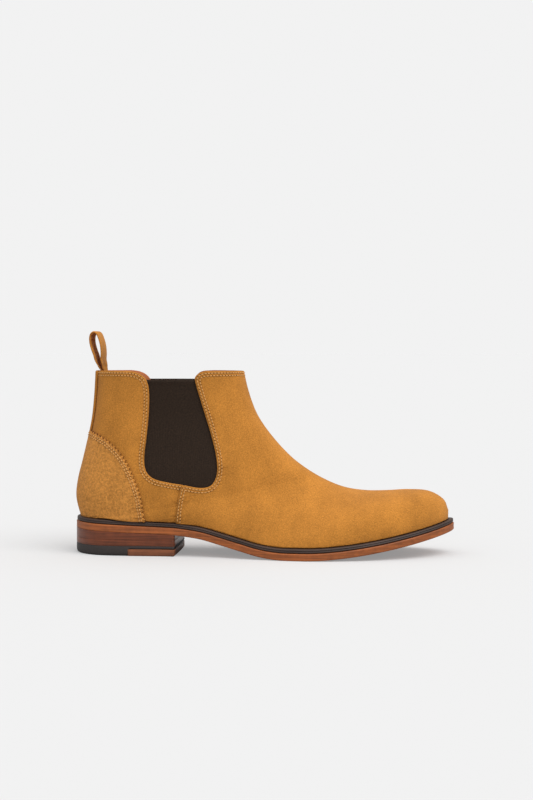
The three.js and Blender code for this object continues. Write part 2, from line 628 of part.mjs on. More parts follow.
function rod(x, y, radius, bottom, top) {
  const cylinder = new THREE.CylinderGeometry(radius, radius, top - bottom, 8);
  return solidOf(cylinder.rotateX(Math.PI / 2).translate(x, y, (top + bottom) / 2));
}
const spread = (places) => places.map(([x, y]) => [along(x), across(y)]);
const nailPlaces = spread([[-88, -17], [-88, 21], [-114, -18], [-114, 22], [-134, 2]]);
const pinPlaces = spread([[-76, -20], [-76, 23], [-96, -20], [-96, 23]]);
const pinTop = BLOCK_PIN.recess + BLOCK_PIN.length;
const nailBottom = RUBBER_HEIGHT + GAP + HEEL_NAIL.into_lift;
const nailHoles = joined(
  ...nailPlaces.map(([x, y]) => rod(x, y, HEEL_NAIL.radius + GAP, nailBottom - GAP, FAR / 2)),
);
const pinHoles = joined(
  ...pinPlaces.map(([x, y]) => rod(x, y, BLOCK_PIN.radius + GAP, -FAR / 2, pinTop + GAP)),
);
const soleOutline = planPrism(outlinePoints(SOLE_OUTLINE, 0));
const heelColumn = soleOutline.intersect(behind(along(HEEL_BREAST)));
const flat = (height) => () => height;
place("outsole", soleOutline.intersect(slab(soleHeight, soleTop)).subtract(nailHoles), "sole_leather");
const upperLift = heelColumn.intersect(slab(flat(LOWER_LIFT_TOP + GAP), (x) => soleHeight(x) - GAP));
place("heel_lift_upper", upperLift.subtract(nailHoles), "heel_leather");
const lowerLift = heelColumn.intersect(slab(flat(RUBBER_HEIGHT + GAP), flat(LOWER_LIFT_TOP)));
place("heel_lift_lower", lowerLift.subtract(nailHoles).subtract(pinHoles), "heel_leather");
const blockRoom = ahead(along(FRONT_BLOCK.back) - GAP)
  .intersect(slab(flat(-FAR / 4), flat(FRONT_BLOCK.height + GAP)));
const rubber = heelColumn.intersect(slab(flat(0), flat(RUBBER_HEIGHT))).subtract(blockRoom);
place("rubber_top_piece", rubber.subtract(pinHoles), "rubber");
const block = heelColumn
  .intersect(ahead(along(FRONT_BLOCK.back)))
  .intersect(slab(flat(0), flat(FRONT_BLOCK.height)));
place("front_block", block.subtract(pinHoles), "sole_leather");
nailPlaces.forEach(([x, y], i) => {
  place(`heel_nail_${i + 1}`, rod(x, y, HEEL_NAIL.radius, nailBottom, soleTop(x) - GAP), "steel");
});
pinPlaces.forEach(([x, y], i) => {
  place(`block_pin_${i + 1}`, rod(x, y, BLOCK_PIN.radius, BLOCK_PIN.recess, pinTop), "brass");
});
place("cork_filler", filler, "cork");

export default boot;
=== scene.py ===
# %% [markdown]
# # A suede chelsea boot, finished around its frame
# The frame is the working model of the boot: every leather, lift, nail and lining as a plain solid,
# in its real place. We load it first, and the boxes of some of its parts set the boot's sizes.
# Blender never moves these solids. It only covers them with finer pieces, or gives them a finish.

import math

import bmesh
import bpy
import numpy as np
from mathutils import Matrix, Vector, geometry, kdtree


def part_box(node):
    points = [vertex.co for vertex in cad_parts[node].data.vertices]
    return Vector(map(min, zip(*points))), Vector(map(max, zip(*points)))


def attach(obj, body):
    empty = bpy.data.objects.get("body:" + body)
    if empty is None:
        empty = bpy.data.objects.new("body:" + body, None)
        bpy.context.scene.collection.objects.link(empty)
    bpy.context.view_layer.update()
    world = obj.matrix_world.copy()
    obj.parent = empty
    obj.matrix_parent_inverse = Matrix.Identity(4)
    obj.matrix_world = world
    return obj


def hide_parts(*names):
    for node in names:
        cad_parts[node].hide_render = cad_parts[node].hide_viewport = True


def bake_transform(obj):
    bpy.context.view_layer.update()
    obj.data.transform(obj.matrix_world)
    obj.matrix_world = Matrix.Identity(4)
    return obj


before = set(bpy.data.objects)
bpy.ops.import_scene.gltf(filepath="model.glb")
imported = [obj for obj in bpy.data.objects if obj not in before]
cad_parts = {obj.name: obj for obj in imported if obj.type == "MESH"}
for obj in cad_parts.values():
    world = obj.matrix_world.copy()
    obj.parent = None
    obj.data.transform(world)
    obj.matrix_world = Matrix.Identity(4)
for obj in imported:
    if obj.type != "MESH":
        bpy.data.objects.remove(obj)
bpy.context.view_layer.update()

# %% [markdown]
# ## Sizes
# A shoemaker's sizes are millimetres, and Blender's are metres, so every length below is in
# millimetres and is turned into metres only when a mesh is made. The two sizes that grade the
# pattern, the sole's length and the collar's height, are read from the frame, so the pattern
# follows it. The others are the thicknesses of the leathers and the gap between two pieces.

# %% Sizes
MM = 0.001


def box_mm(node):
    low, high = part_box(node)
    return np.array(low) / MM, np.array(high) / MM


SOLE_LOW, SOLE_HIGH = box_mm("outsole")
LENGTH = SOLE_HIGH[0] - SOLE_LOW[0]
COLLAR = box_mm("vamp")[1][2]
ALONG = LENGTH / 300
ABOVE = COLLAR / 144
GAP = 0.3
SOLE_THICKNESS = 5.5
WELT_THICKNESS = 3.3
UPPER_THICKNESS = 1.6
LINING_THICKNESS = 1.2
CENTRE_Y = 2.0
INNER_SHIFT = -5.0
print(f"sole {LENGTH:.1f} mm long, collar {COLLAR:.1f} mm up")

# %% [markdown]
# ## The camera
# A lens close to a boot swells the toe and shrinks the heel. A long lens from further off keeps the
# boot in its true proportions, so the camera stands 1.25 m away, level with the ankle and turned a
# touch towards the toe. It could be dragged into place by hand, but two angles, a distance and the
# point it looks at can be changed one at a time.

# %% Camera
CAMERA_AZIMUTH = math.radians(4.5)
CAMERA_HEIGHT = math.radians(1.9)
CAMERA_DISTANCE = 1.25
CAMERA_AIM = Vector((0.0019, 0.003, 0.1207))
CAMERA_LENS = 71.0


def place_camera():
    flat = math.cos(CAMERA_HEIGHT)
    back = Vector((
        math.sin(CAMERA_AZIMUTH) * flat,
        -math.cos(CAMERA_AZIMUTH) * flat,
        math.sin(CAMERA_HEIGHT),
    ))
    camera = bpy.data.objects.new("camera", bpy.data.cameras.new("camera"))
    camera.data.lens = CAMERA_LENS
    camera.location = CAMERA_AIM + CAMERA_DISTANCE * back
    camera.rotation_euler = (-back).to_track_quat("-Z", "Y").to_euler()
    bpy.context.scene.collection.objects.link(camera)
    bpy.context.scene.camera = camera
    return camera


print("camera at", place_camera().location)

# %% [markdown]
# ## Smooth lines through a few stations
# A last maker gives a shape as a few measured stations and fairs the line between them. The same
# idea serves here: a cubic runs from station to station and takes its slope from its neighbours.
# It works on whole arrays of positions at once, which keeps the finer surfaces quick to make.

# %% Faired lines


def through(stations):
    xs, ys = np.array(stations, float).T
    slope = np.gradient(ys, xs, edge_order=1)
    slope[1:-1] = (ys[2:] - ys[:-2]) / (xs[2:] - xs[:-2])

    def value(x):
        at = np.clip(x, xs[0], xs[-1])
        i = np.clip(np.searchsorted(xs, at) - 1, 0, len(xs) - 2)
        w = xs[i + 1] - xs[i]
        t = (at - xs[i]) / w
        bend = slope[i] * w * t * (1 - t) ** 2 - slope[i + 1] * w * t * t * (1 - t)
        return ys[i] + (ys[i + 1] - ys[i]) * t * t * (3 - 2 * t) + bend

    return value


def numbered(values):
    return through(list(enumerate(values)))


def smoothstep(x, low, high):
    t = np.clip((x - low) / (high - low), 0, 1)
    return t * t * (3 - 2 * t)


print("a faired line at its middle station:", through([[0, 0], [1, 2], [2, 2]])(1.0))

# %% [markdown]
# ## The line of the sole
# The outsole lies flat under the ball, climbs to the heel and springs up at the toe. Everything
# above it, the welt and the edge of the upper, follows the same line at its own height.

# %% Sole line
heel_share = through([
    [-67 * ALONG, 1], [-47 * ALONG, 0.84], [-31 * ALONG, 0.6], [-15 * ALONG, 0.35],
    [0, 0.127], [15 * ALONG, 0.012], [30 * ALONG, 0],
])
HEEL_HEIGHT = 16.6
HEEL_PITCH = 3.2
TOE_SPRING = 19.3
BALL_END = 35 * ALONG


def sole_height(x):
    behind = np.maximum(-67 * ALONG - x, 0) / (LENGTH / 2 - 67 * ALONG)
    ahead = np.maximum(x - BALL_END, 0) / (LENGTH / 2 - BALL_END)
    return HEEL_HEIGHT * heel_share(x) + HEEL_PITCH * behind + TOE_SPRING * ahead**1.65


def sole_top(x):
    return sole_height(x) + SOLE_THICKNESS


def welt_top(x):
    return sole_top(x) + GAP + WELT_THICKNESS


UNDERCUT = 2.0


def feather(x):
    return welt_top(x) + GAP


print("sole height at heel, waist, ball, toe:", np.round(sole_height(np.array([-150, -30, 30, 150])), 1))

# %% [markdown]
# ## The outlines from above
# Two outlines matter: the edge of the sole, and the feather line inside it, where the upper turns
# in under the foot. Each side is a row of distances from the middle line, at stations set out like
# the hours on a clock face, close together at heel and toe, so that both ends come out round.

# %% Outlines
STATIONS = 12
SOLE = {
    "back": -LENGTH / 2,
    "front": LENGTH / 2,
    -1: numbered([2.5, -14.5, -27.5, -31, -31.5, -36.5, -46.5, -52.4, -48.5, -38, -24, -8, 8]),
    1: numbered([2.5, 19, 31.5, 33.5, 32, 31, 40, 50.8, 50.6, 43.5, 33, 22.5, 8]),
}
FEATHER = {
    "back": -LENGTH / 2 + 5.7,
    "front": LENGTH / 2 - 4.5,
    -1: numbered([2, -13.5, -25.5, -28, -28.5, -33, -43, -48.6, -45, -35.2, -21.5, -6.3, 7.5]),
    1: numbered([2, 17, 28.5, 30, 29, 27.5, 36, 47, 46.8, 39.8, 29.8, 20.3, 7.5]),
}


def outline_x(outline, k):
    middle = (outline["back"] + outline["front"]) / 2
    half = (outline["front"] - outline["back"]) / 2
    return middle - half * np.cos(np.asarray(k) / STATIONS * np.pi)


def outline_side(outline, side, stations):
    return np.column_stack([outline_x(outline, stations), outline[side](stations)])


print("sole width at the ball:", round(float(SOLE[1](7) - SOLE[-1](7)), 1))

# %% [markdown]
# ## The last
# The last is the foot-shaped block that the boot is built on. Here it is a fan of sections. Each
# section runs from the ridge (front of the shaft, instep, toe) over one side to the edge (back seam,
# then feather line). Numbers k count the sections and v says how far across we are, from -1 at
# the outer edge over 0 at the ridge to 1 at the inner edge. Any leather is a patch of this surface.

# %% The last
CORNER = 8
SECTIONS = CORNER + STATIONS
BACK_SEAM = [
    [-132.5, 154], [-132.9, 143.2], [-134, 124.5], [-135.9, 106.5],
    [-139.3, 89.5], [-143.5, 72], [-147.2, 57], [-148.3, 43],
]
RIDGE = [
    [-18, 154], [-16, 144], [-12.4, 128.5], [-6.5, 112], [1, 99.5], [11, 87], [20, 77.6],
    [27, 71.6], [34, 66.6], [38, 64], [42, 61.6], [47, 58.9], [53, 56], [60.5, 53],
    [70, 50.6], [83, 49.2], [98, 49.4], [114, 50.3], [130, 49.2], [141.6, 42.8], [145.6, 34],
]
ridge_x = numbered([x * ALONG for x, _ in RIDGE])
ridge_z = numbered([z * ABOVE for _, z in RIDGE])
back_x = numbered([x * ALONG for x, _ in BACK_SEAM] + [FEATHER["back"]])
back_z = numbered([z * ABOVE for _, z in BACK_SEAM] + [float(feather(FEATHER["back"])) - UNDERCUT])
ridge_y = numbered([2] * 9 + [2.2, 2.6, 3.2, 4, 5, 6, 7, 7.6, 7.8, 7.8, 7.6, 7.5])
HALF_WIDTH = {
    -1: numbered([
        29, 29, 28.5, 28.5, 29.5, 31, 32.4, 33.3, 34, 34.5, 35,
        36.5, 39, 43.5, 50, 56.2, 53.2, 43.7, 29.9, 14.5, 0,
    ]),
    1: numbered([
        29, 29, 28.5, 28.5, 29.5, 31, 32.6, 33.8, 34.5, 35, 35.5,
        35.5, 35, 36, 38.5, 42, 40, 32.8, 22.7, 13.3, 0,
    ]),
}
ridge_round = numbered([
    4.8, 4.8, 4.7, 4.6, 4.5, 4.4, 4.3, 4.1, 3.9, 3.6, 3.3, 3, 2.7, 2.4, 2.2, 2.1, 2.1,
    2.2, 2.2, 2.2, 2.2,
])
edge_round = numbered([5.3, 5.3, 5.5, 6, 6.8, 7.5, 8, 8.4, 8.4, 8, 7, 6, 5, 4, 3.5, 3, 3, 3, 3, 3, 3])
print("sections of the last:", SECTIONS + 1)

# %% [markdown]
# Between its ridge and its edge a section swells out like half an egg. Two exponents say how soon
# it rounds over at the ridge and how tightly it turns in at the edge, which is all it takes to go
# from the oval shaft to the flat toe. The last could be sculpted instead, but then no pattern line
# could be laid on it by its numbers. The slopes of the surface give the way straight out of it, the
# normal. At the back seam and the ridge both halves share one normal, so no crease shows there.

# %% Sections of the last


def section_ends(k):
    """The ridge and edge points of sections k in side view, as x, z, x, z."""
    foot = k > CORNER
    station = np.maximum(k - CORNER, 0)
    foot_x = outline_x(FEATHER, station)
    edge_x = np.where(foot, foot_x, back_x(np.minimum(k, CORNER)))
    edge_z = np.where(foot, feather(foot_x) - UNDERCUT, back_z(np.minimum(k, CORNER)))
    return ridge_x(k), ridge_z(k), edge_x, edge_z


def last_point(k, v):
    k, v = np.broadcast_arrays(np.asarray(k, float), np.asarray(v, float))
    s = (1 - np.cos(np.pi * np.abs(v))) / 2
    side = np.where(v < 0, -1, 1)
    half = np.where(v < 0, HALF_WIDTH[-1](k), HALF_WIDTH[1](k))
    station = np.maximum(k - CORNER, 0)
    edge_y = np.where(v < 0, FEATHER[-1](station), FEATHER[1](station))
    edge_half = side * (edge_y - ridge_y(k))
    safe = np.maximum(half, 1e-9)
    closing = np.where((k > CORNER) & (half > 0), 1 - (edge_half / safe) ** 2, 1)
    bulge = (1 - (1 - s) ** ridge_round(k)) * (1 - closing * s ** edge_round(k))
    rx, rz, ex, ez = section_ends(k)
    y = ridge_y(k) + side * half * np.sqrt(np.maximum(bulge, 0))
    return np.stack([rx + (ex - rx) * s, y, rz + (ez - rz) * s], -1)


def unit(vectors):
    return vectors / np.maximum(np.linalg.norm(vectors, axis=-1, keepdims=True), 1e-12)


STEP = 0.01


def slopes(k, v):
    """How the surface runs along k and along v."""
    k_at = np.minimum(k, SECTIONS - 3 * STEP)
    v_at = np.clip(v, -1 + 2 * STEP, 1 - 2 * STEP)
    low = np.maximum(k_at - STEP, 0)
    along_k = (last_point(k_at + STEP, v_at) - last_point(low, v_at)) / (k_at + STEP - low)[..., None]
    along_v = (last_point(k_at, v_at + STEP) - last_point(k_at, v_at - STEP)) / (2 * STEP)
    return along_k, along_v


def last_normal(k, v):
    k, v = np.broadcast_arrays(np.asarray(k, float), np.asarray(v, float))
    out = unit(np.cross(*slopes(k, v)))
    other = unit(np.cross(*slopes(k, -v)))
    on_back = (np.abs(v) > 1 - 1e-6) & (k <= CORNER)
    shared = on_back | (np.abs(v) < 1e-6) | (k > SECTIONS - 1e-6)
    middle = (out + other) * np.array([1, 0, 1])
    return unit(np.where(shared[..., None], middle, out))


print("the ball of the last, outer side:", np.round(last_point(15, -0.6), 1))

# %% [markdown]
# ## From the pattern to the last
# Pattern pieces are drawn flat, seen from the side, with x along the boot and z up. To lay such a
# line on the last we look for the section that passes through each point. The sections fan out, so
# a point is either above or below a section, and halving the interval finds the right one quickly.
# A third number, `w`, carries the surface on round the back seam: 1 is the seam, 2 + v the outer side.

# %% Pattern to last


def laid_on_last(points, side):
    """(k, w) of side-view points [x, z] on one side, -1 outer or 1 inner."""
    x, z = np.asarray(points, float).T
    low, high = np.zeros_like(x), np.full_like(x, SECTIONS)
    for _ in range(36):
        k = (low + high) / 2
        rx, rz, ex, ez = section_ends(k)
        above = (ex - rx) * (z - rz) - (ez - rz) * (x - rx) < 0
        high = np.where(above, k, high)
        low = np.where(above, low, k)
    rx, rz, ex, ez = section_ends(k)
    run = (ex - rx) ** 2 + (ez - rz) ** 2
    s = np.clip(((x - rx) * (ex - rx) + (z - rz) * (ez - rz)) / run, 0, 1)
    return np.column_stack([k, side * np.arccos(1 - 2 * s) / np.pi])


def across_seam(kv):
    """The same places with the outer side counted on past the back seam."""
    return np.column_stack([kv[:, 0], np.where(kv[:, 1] < 0, kv[:, 1] + 2, kv[:, 1])])


def unwrapped(w):
    return np.where(w > 1, w - 2, w)


def on_last(kw, lift=0.0):
    v = unwrapped(kw[:, 1])
    return last_point(kw[:, 0], v) + last_normal(kw[:, 0], v) * np.reshape(lift, (-1, 1))


def spline(points, step=0.6):
    """A faired side-view curve through the given points, sampled finely."""
    points = np.asarray(points, float)
    place = np.r_[0, np.cumsum(np.linalg.norm(np.diff(points, axis=0), axis=1))]
    fine = np.linspace(0, place[-1], max(int(place[-1] / step), 2) + 1)
    return np.column_stack([through(np.column_stack([place, points[:, i]]))(fine) for i in (0, 1)])


probe = laid_on_last([[-100, 90]], -1)
print("section and place of a point on the quarter:", np.round(probe, 3))

# %% [markdown]
# ## Turning a pattern piece into leather
# A piece of leather is cut by its outline, laid on the last and pulled tight. We do the same: the
# outline is a loop of (k, w) places, points are spread inside it, and a triangle net joins them.
# First come the tools for the outline: spacing its points evenly on the last, and stepping a given
# distance in from it, as a maker's compass does to mark the line for the stitches.

# %% Measuring along and in from an edge
HIDDEN, SEWN, FOLD = 0, 1, 2


def resampled(kw, spacing):
    """The same line with points an even distance apart on the last."""
    place = np.r_[0, np.cumsum(np.linalg.norm(np.diff(on_last(kw), axis=0), axis=1))]
    count = max(int(round(place[-1] / spacing)), 1) + 1
    even = np.linspace(0, place[-1], count)
    return np.column_stack([np.interp(even, place, kw[:, i]) for i in (0, 1)])


def nearest_on_last(kw, targets):
    """Moves each (k, w) a few careful steps towards the last's nearest point to its target."""
    kw = kw.copy()
    for _ in range(9):
        miss = targets - on_last(kw)
        along_k, along_v = slopes(kw[:, 0], unwrapped(kw[:, 1]))
        kk = (along_k * along_k).sum(1) + 1e-3
        vv = (along_v * along_v).sum(1) + 1e-3
        kv = (along_k * along_v).sum(1)
        mk = (miss * along_k).sum(1)
        mv = (miss * along_v).sum(1)
        det = kk * vv - kv * kv
        kw[:, 0] += np.clip((mk * vv - mv * kv) / det, -0.2, 0.2)
        kw[:, 1] += np.clip((mv * kk - mk * kv) / det, -0.06, 0.06)
        kw[:, 0] = np.clip(kw[:, 0], 0, SECTIONS)
    return kw


def turning(parts):
    """1 if the loop runs counter-clockwise seen from outside the boot, else -1."""
    k, w = np.concatenate([line[:-1] for _, line in parts]).T
    return np.sign(np.sum(k * np.roll(w, -1) - w * np.roll(k, -1)))


def inward(kw, distance, turn=1):
    """Places a distance to the left of a line (turn=1) or to its right (turn=-1)."""
    points = on_last(kw)
    tangent = unit(np.gradient(points, axis=0))
    side = unit(np.cross(last_normal(kw[:, 0], unwrapped(kw[:, 1])), tangent)) * turn
    distance = np.reshape(distance, (-1, 1)) * np.ones((len(kw), 1))
    return nearest_on_last(kw, points + side * distance)


probe = laid_on_last([[-100, 90], [-100, 85]], -1)
print("5 mm in from two points of the quarter:", np.round(inward(probe, 5.0), 3))

# %% [markdown]
# Two questions come up again and again: does a point lie inside an outline, and how far is it from
# the nearest cut edge? The first is answered by counting how often a line from the point crosses
# the outline. The second takes a search tree, which stays quick for thousands of points.

# %% Inside, and how far from the edge


def inside(points, loop):
    """Which flat points lie inside a closed loop, by counting crossings."""
    x, y = points.T
    crossings = np.zeros(len(points), bool)
    for (x0, y0), (x1, y1) in zip(loop, np.roll(loop, -1, axis=0)):
        if y0 == y1:
            continue
        across = (y0 > y) != (y1 > y)
        crossings ^= across & (x < x0 + (y - y0) / (y1 - y0) * (x1 - x0))
    return crossings


def distances(points, targets):
    tree = kdtree.KDTree(len(targets))
    for i, target in enumerate(targets):
        tree.insert(target, i)
    tree.balance()
    return np.array([tree.find(point)[2] for point in points])


square = np.array([[0.0, 0.0], [4.0, 0.0], [4.0, 4.0], [0.0, 4.0]])
print("inside a square of side 4:", inside(np.array([[2.0, 2.0], [5.0, 2.0]]), square))

# %% [markdown]
# ## From points to a mesh
# A mesh is a list of points and a list of faces that name their points by number. `new_piece` turns
# the two into an object, in metres. `welded` then joins points that lie on one another, such as the
# two halves of the vamp at the toe, and turns every face to look outwards.

# %% Mesh pieces
WELD_DISTANCE = 2e-6


def new_piece(name, points_mm, faces, smooth=True):
    mesh = bpy.data.meshes.new(name)
    mesh.from_pydata((np.asarray(points_mm) * MM).tolist(), [], [list(map(int, f)) for f in faces])
    mesh.polygons.foreach_set("use_smooth", [smooth] * len(mesh.polygons))
    piece = bpy.data.objects.new(name, mesh)
    bpy.context.scene.collection.objects.link(piece)
    return piece


def welded(piece):
    """Joins points that lie on one another, and turns every face outwards."""
    net = bmesh.new()
    net.from_mesh(piece.data)
    bmesh.ops.remove_doubles(net, verts=net.verts, dist=WELD_DISTANCE)
    bmesh.ops.recalc_face_normals(net, faces=net.faces)
    net.to_mesh(piece.data)
    net.free()
    return piece


print("points closer than this are joined, metres:", WELD_DISTANCE)

# %% [markdown]
# ## The net of one hide
# The net is laid out flat, with k and w scaled so that a step is about as long one way as the other:
# a section is some 20 mm from the next, and w counts some 110 mm from the ridge to the edge.
# Its rows are staggered like bricks, which gives even triangles. Blender's constrained Delaunay
# triangulation then joins them and keeps the outline as cut.

# %% The net
FLAT = np.array([30.0, 90.0])
SECTION_MM = 20
ACROSS_MM = 110


def spread_inside(loop, edge_points, spacing, keep_off):
    """Evenly spread (k, w) places inside a loop, away from its sewn edges."""
    low, high = loop.min(0), loop.max(0)
    ks = np.arange(low[0], high[0], spacing / SECTION_MM)
    places = []
    for row, k in enumerate(ks):
        half = 0.5 * (row % 2)
        dw = spacing / ACROSS_MM
        ws = low[1] + dw * (np.arange(int((high[1] - low[1]) / dw) + 2) + half)
        places.append(np.column_stack([np.full_like(ws, k), ws]))
    places = np.concatenate(places)
    places = places[places[:, 1] > low[1] + 1e-6]
    places = places[inside(places * FLAT, loop * FLAT)]
    flat_edge = distances([(*p, 0) for p in places * FLAT], [(*p, 0) for p in loop * FLAT])
    places = places[flat_edge > 0.45 * spacing]
    if len(edge_points):
        places = places[distances(on_last(places), edge_points) > keep_off]
    return places


def net_of(loop, places):
    count = len(loop)
    flat = np.concatenate([loop, places]) * FLAT
    ring = [(i, (i + 1) % count) for i in range(count)]
    verts, _, faces, *_ = geometry.delaunay_2d_cdt([Vector(p) for p in flat], ring, [], 1, 1e-5)
    return np.array([tuple(v) for v in verts]) / FLAT, faces


corners = np.array([[2.0, 0.0], [4.0, 0.0], [4.0, 0.5], [2.0, 0.5]])
print("triangles in a small net:", len(net_of(corners, spread_inside(corners, [], 8.0, 0))[1]))

# %% [markdown]
# `hide` makes one closed piece: an outer face that rounds over at its sewn edges, an inner face, and
# a wall between them. The height of the outer face above the last is a function of how far a point
# is from the cut edge, so a rolled edge, a lap or a row of needle holes is real shape, not shading.
# Rings of points follow each sewn edge, because that is where leather bends most. A sheet with a
# Solidify modifier would be less work, but its edges would be square and its seams couldn't lap.

# %% Making a hide
EDGE_RINGS = [0.2, 0.5, 0.9, 1.3, 1.7, 2.1, 2.7, 3.3, 3.7, 4.2, 5.2]
EDGE_ROUND = 0.7
RING_ZONE = 6.2
RING_CROWDING = 0.93
DIMPLE_DEPTH = 0.4
DIMPLE_WIDTH = 0.5


def ring_places(parts, loop, edge):
    """Rows of places that follow each sewn edge at the ring distances."""
    rows = []
    for line in [line for kind, line in parts if kind == SEWN]:
        for distance in EDGE_RINGS:
            places = inward(line, distance, turning(parts))
            places = places[inside(places * FLAT, loop * FLAT)]
            if len(places):
                away = distances(on_last(places), edge)
                rows.append(places[away > RING_CROWDING * distance])
    return rows


def from_edge(places, edge):
    """How far each place is from the sewn edges, or far off where none is sewn."""
    return distances(on_last(places), edge) if len(edge) else np.full(len(places), 99.0)


def wall_faces(kinds, start):
    """A band from the outer face's edge to the inner face's, left out along a fold."""
    count = len(kinds)
    around = [(i, (i + 1) % count) for i in range(count) if kinds[i] != FOLD]
    return [(i, start + i, start + j, j) for i, j in around]


print("edge rings at", EDGE_RINGS, "mm")

# %% [markdown]
# With these, a hide is made in one go: the two nets, how high each lies, the wall between them. The
# wall of a sewn hide gets a second material, darker than the face: partly the cut edge's own colour,
# partly painted shade for the shadow along its teeth and laps.

# %% A hide


def hide(name, parts, height, thickness, spacing=2.6, rings=True, holes=None, roll=EDGE_ROUND):
    """parts: [(kind, (k, w) line), ...] once round the piece, each line ending where the next starts."""
    loop = np.concatenate([line[:-1] for _, line in parts])
    kinds = [kind for kind, line in parts for _ in line[:-1]]
    sewn = [on_last(line) for kind, line in parts if kind == SEWN]
    edge = np.concatenate(sewn) if sewn else np.zeros((0, 3))
    near = ring_places(parts, loop, edge) if rings else []
    middle = spread_inside(loop, edge, spacing, RING_ZONE if rings else 0)
    outer, outer_faces = net_of(loop, np.concatenate([middle] + near))
    inner, inner_faces = net_of(loop, spread_inside(loop, [], 2 * spacing, 0))
    away = from_edge(outer, edge)
    lift = height(on_last(outer), outer, away)
    if rings:
        lift = lift - roll * (1 - np.sqrt(1 - (1 - np.clip(away / roll, 0, 1)) ** 2))
    if holes is not None:
        from_hole = distances(on_last(outer), holes)
        lift = lift - DIMPLE_DEPTH * np.exp(-((from_hole / DIMPLE_WIDTH) ** 2))
    under = height(on_last(inner), inner, from_edge(inner, edge)) - thickness
    start = len(outer)
    faces = [tuple(face) for face in outer_faces]
    faces += [tuple(start + i for i in reversed(face)) for face in inner_faces]
    points = np.concatenate([on_last(outer, lift), on_last(inner, under)])
    piece = new_piece(name, points, faces + wall_faces(kinds, start))
    # The walls of sewn hides take the darker edge finish, which is partly painted shade.
    if rings:
        for wall in list(piece.data.polygons)[len(faces):]:
            wall.material_index = 1
    print(name, len(piece.data.polygons), "faces")
    return welded(piece)


# %% [markdown]
# ## The pattern
# These lines are the boot's design, drawn from the side: the side seam, the opening for the elastic,
# and the edge of the heel patch. The inner side is the same design, set 5 mm further back, so one
# set of lines serves for both. Drawing them flat, as a pattern maker does, keeps them easy to change.

# %% Pattern lines
SIDE_SEAM = [[-60, 58], [-62.6, 52], [-64.8, 40.8], [-66.6, 24], [-67, 20]]
GORE_REAR = [
    [-105, 144], [-98.5, 143], [-93, 140.3], [-89.5, 136], [-87.8, 128], [-88, 112], [-89.5, 94],
    [-91.2, 76], [-89.8, 66.4], [-84, 60.6], [-72, 57.4], [-60, 55.6],
]
GORE_FRONT = [
    [-60, 55.6], [-47, 53.4], [-39, 55.2], [-34.6, 63], [-34.6, 75], [-38.6, 92.4], [-44.8, 112.5],
    [-51.2, 134], [-51.6, 139], [-47, 143], [-38, 144],
]
PATCH_EDGE = [
    [-139.6, 98], [-130.6, 94.9], [-119.5, 89.2], [-107.6, 77.9],
    [-98.4, 61.9], [-92.2, 44.2], [-88.5, 20],
]
HEEL_LINING_EDGE = [[-138, 100], [-120, 92], [-104, 76], [-97, 56], [-96, 20]]
OUTER, INNER = -1, 1
FINE = 1.25


def graded(points, side, shift=0.0):
    move = (INNER_SHIFT if side == INNER else 0.0) + shift
    return [[x * ALONG + move, z * ABOVE] for x, z in points]


def line_on_last(points, side, spacing=FINE, shift=0.0):
    kw = laid_on_last(spline(graded(points, side, shift)), side)
    keep = np.abs(kw[:, 1]) < 0.999
    return resampled(kw[keep], spacing)


def rim(side, k_from, k_to, spacing=2.5):
    """The back seam above section 8 and the feather line beyond it."""
    ks = np.linspace(k_from, k_to, 200)
    return resampled(np.column_stack([ks, np.full_like(ks, side)]), spacing)


def collar_line(side, x_from, x_to, spacing=FINE):
    xs = np.linspace(x_from, x_to, 60)
    return resampled(laid_on_last(np.column_stack([xs, np.full_like(xs, COLLAR)]), side), spacing)


def joined(*lines):
    """Lines run into one, with shared end points kept once."""
    out = [lines[0]]
    for line in lines[1:]:
        out.append(line[1:] if np.allclose(line[0], out[-1][-1], atol=1e-3) else line)
    return np.concatenate(out)


def to_rim(line, side):
    """The line with its lower end carried down to the feather line."""
    return np.vstack([line, [line[-1, 0], side]])


print("points on the rear edge of the elastic's opening:", len(line_on_last(GORE_REAR, OUTER)))

# %% [markdown]
# On the real boot the hides run on under the insole and are pulled tight there, out of sight. Here
# they end just above the welt, a hair short of it, which leaves the thin dark line that shows between
# the leather and the welt. Running them on into the sole would only hide faces inside other pieces.

# %% Foot line
FOOT_GAP = 0.25


def foot_height(x):
    """Where the hides end, just above the welt: a thin dark line shows between the two."""
    return feather(x) + FOOT_GAP


def above_foot(line):
    points = on_last(line)
    return line[points[:, 2] > foot_height(points[:, 0]) + 0.15]


def foot_line(start, end, side, spacing=2.5):
    """From one (k, v) place to another along the foot, just above the welt."""
    xs = np.linspace(on_last(start[None])[0, 0], on_last(end[None])[0, 0], 300)
    path = resampled(laid_on_last(np.column_stack([xs, foot_height(xs)]), side), spacing)
    return np.vstack([start, path[1:-1], end])


def section_at(line_z, z):
    """The section whose back or ridge end lies at height z."""
    ks = np.linspace(0, CORNER, 2000)
    return float(np.interp(-z, -line_z(ks), ks))


COLLAR_BACK_K = section_at(back_z, COLLAR)
RIDGE_COLLAR_K = section_at(ridge_z, COLLAR)
BACK_TOP_X = float(back_x(COLLAR_BACK_K))
FOOT_BACK_K = section_at(back_z, float(foot_height(FEATHER["back"])))
print("collar meets the back seam at section", round(COLLAR_BACK_K, 3))

# %% [markdown]
# ## Stitching
# An elastic-sided boot is held by two close rows of stitches round each sewn edge. A stitch is a
# short bead of thread between two needle holes. The holes are pressed into the hide as dimples and
# closed with a dark plug, painted shade for the hole's depth; the beads are laid on top. One row
# starts half a stitch later. A texture of stitches would be quicker, but only beads catch the light
# and follow the edge round its curves.

# %% Stitches
PITCH = 2.6
ROWS = (1.7, 3.7)
SEAM_END = 0.05
BEAD_RINGS = ((0.1, 0.12), (0.2, 0.3), (0.5, 0.38), (0.8, 0.3), (0.9, 0.12))
BEAD_SIDES = 6
HOLE_RADIUS = 0.42
thread_points, thread_faces = [], []
hole_shade_points, hole_shade_faces = [], []


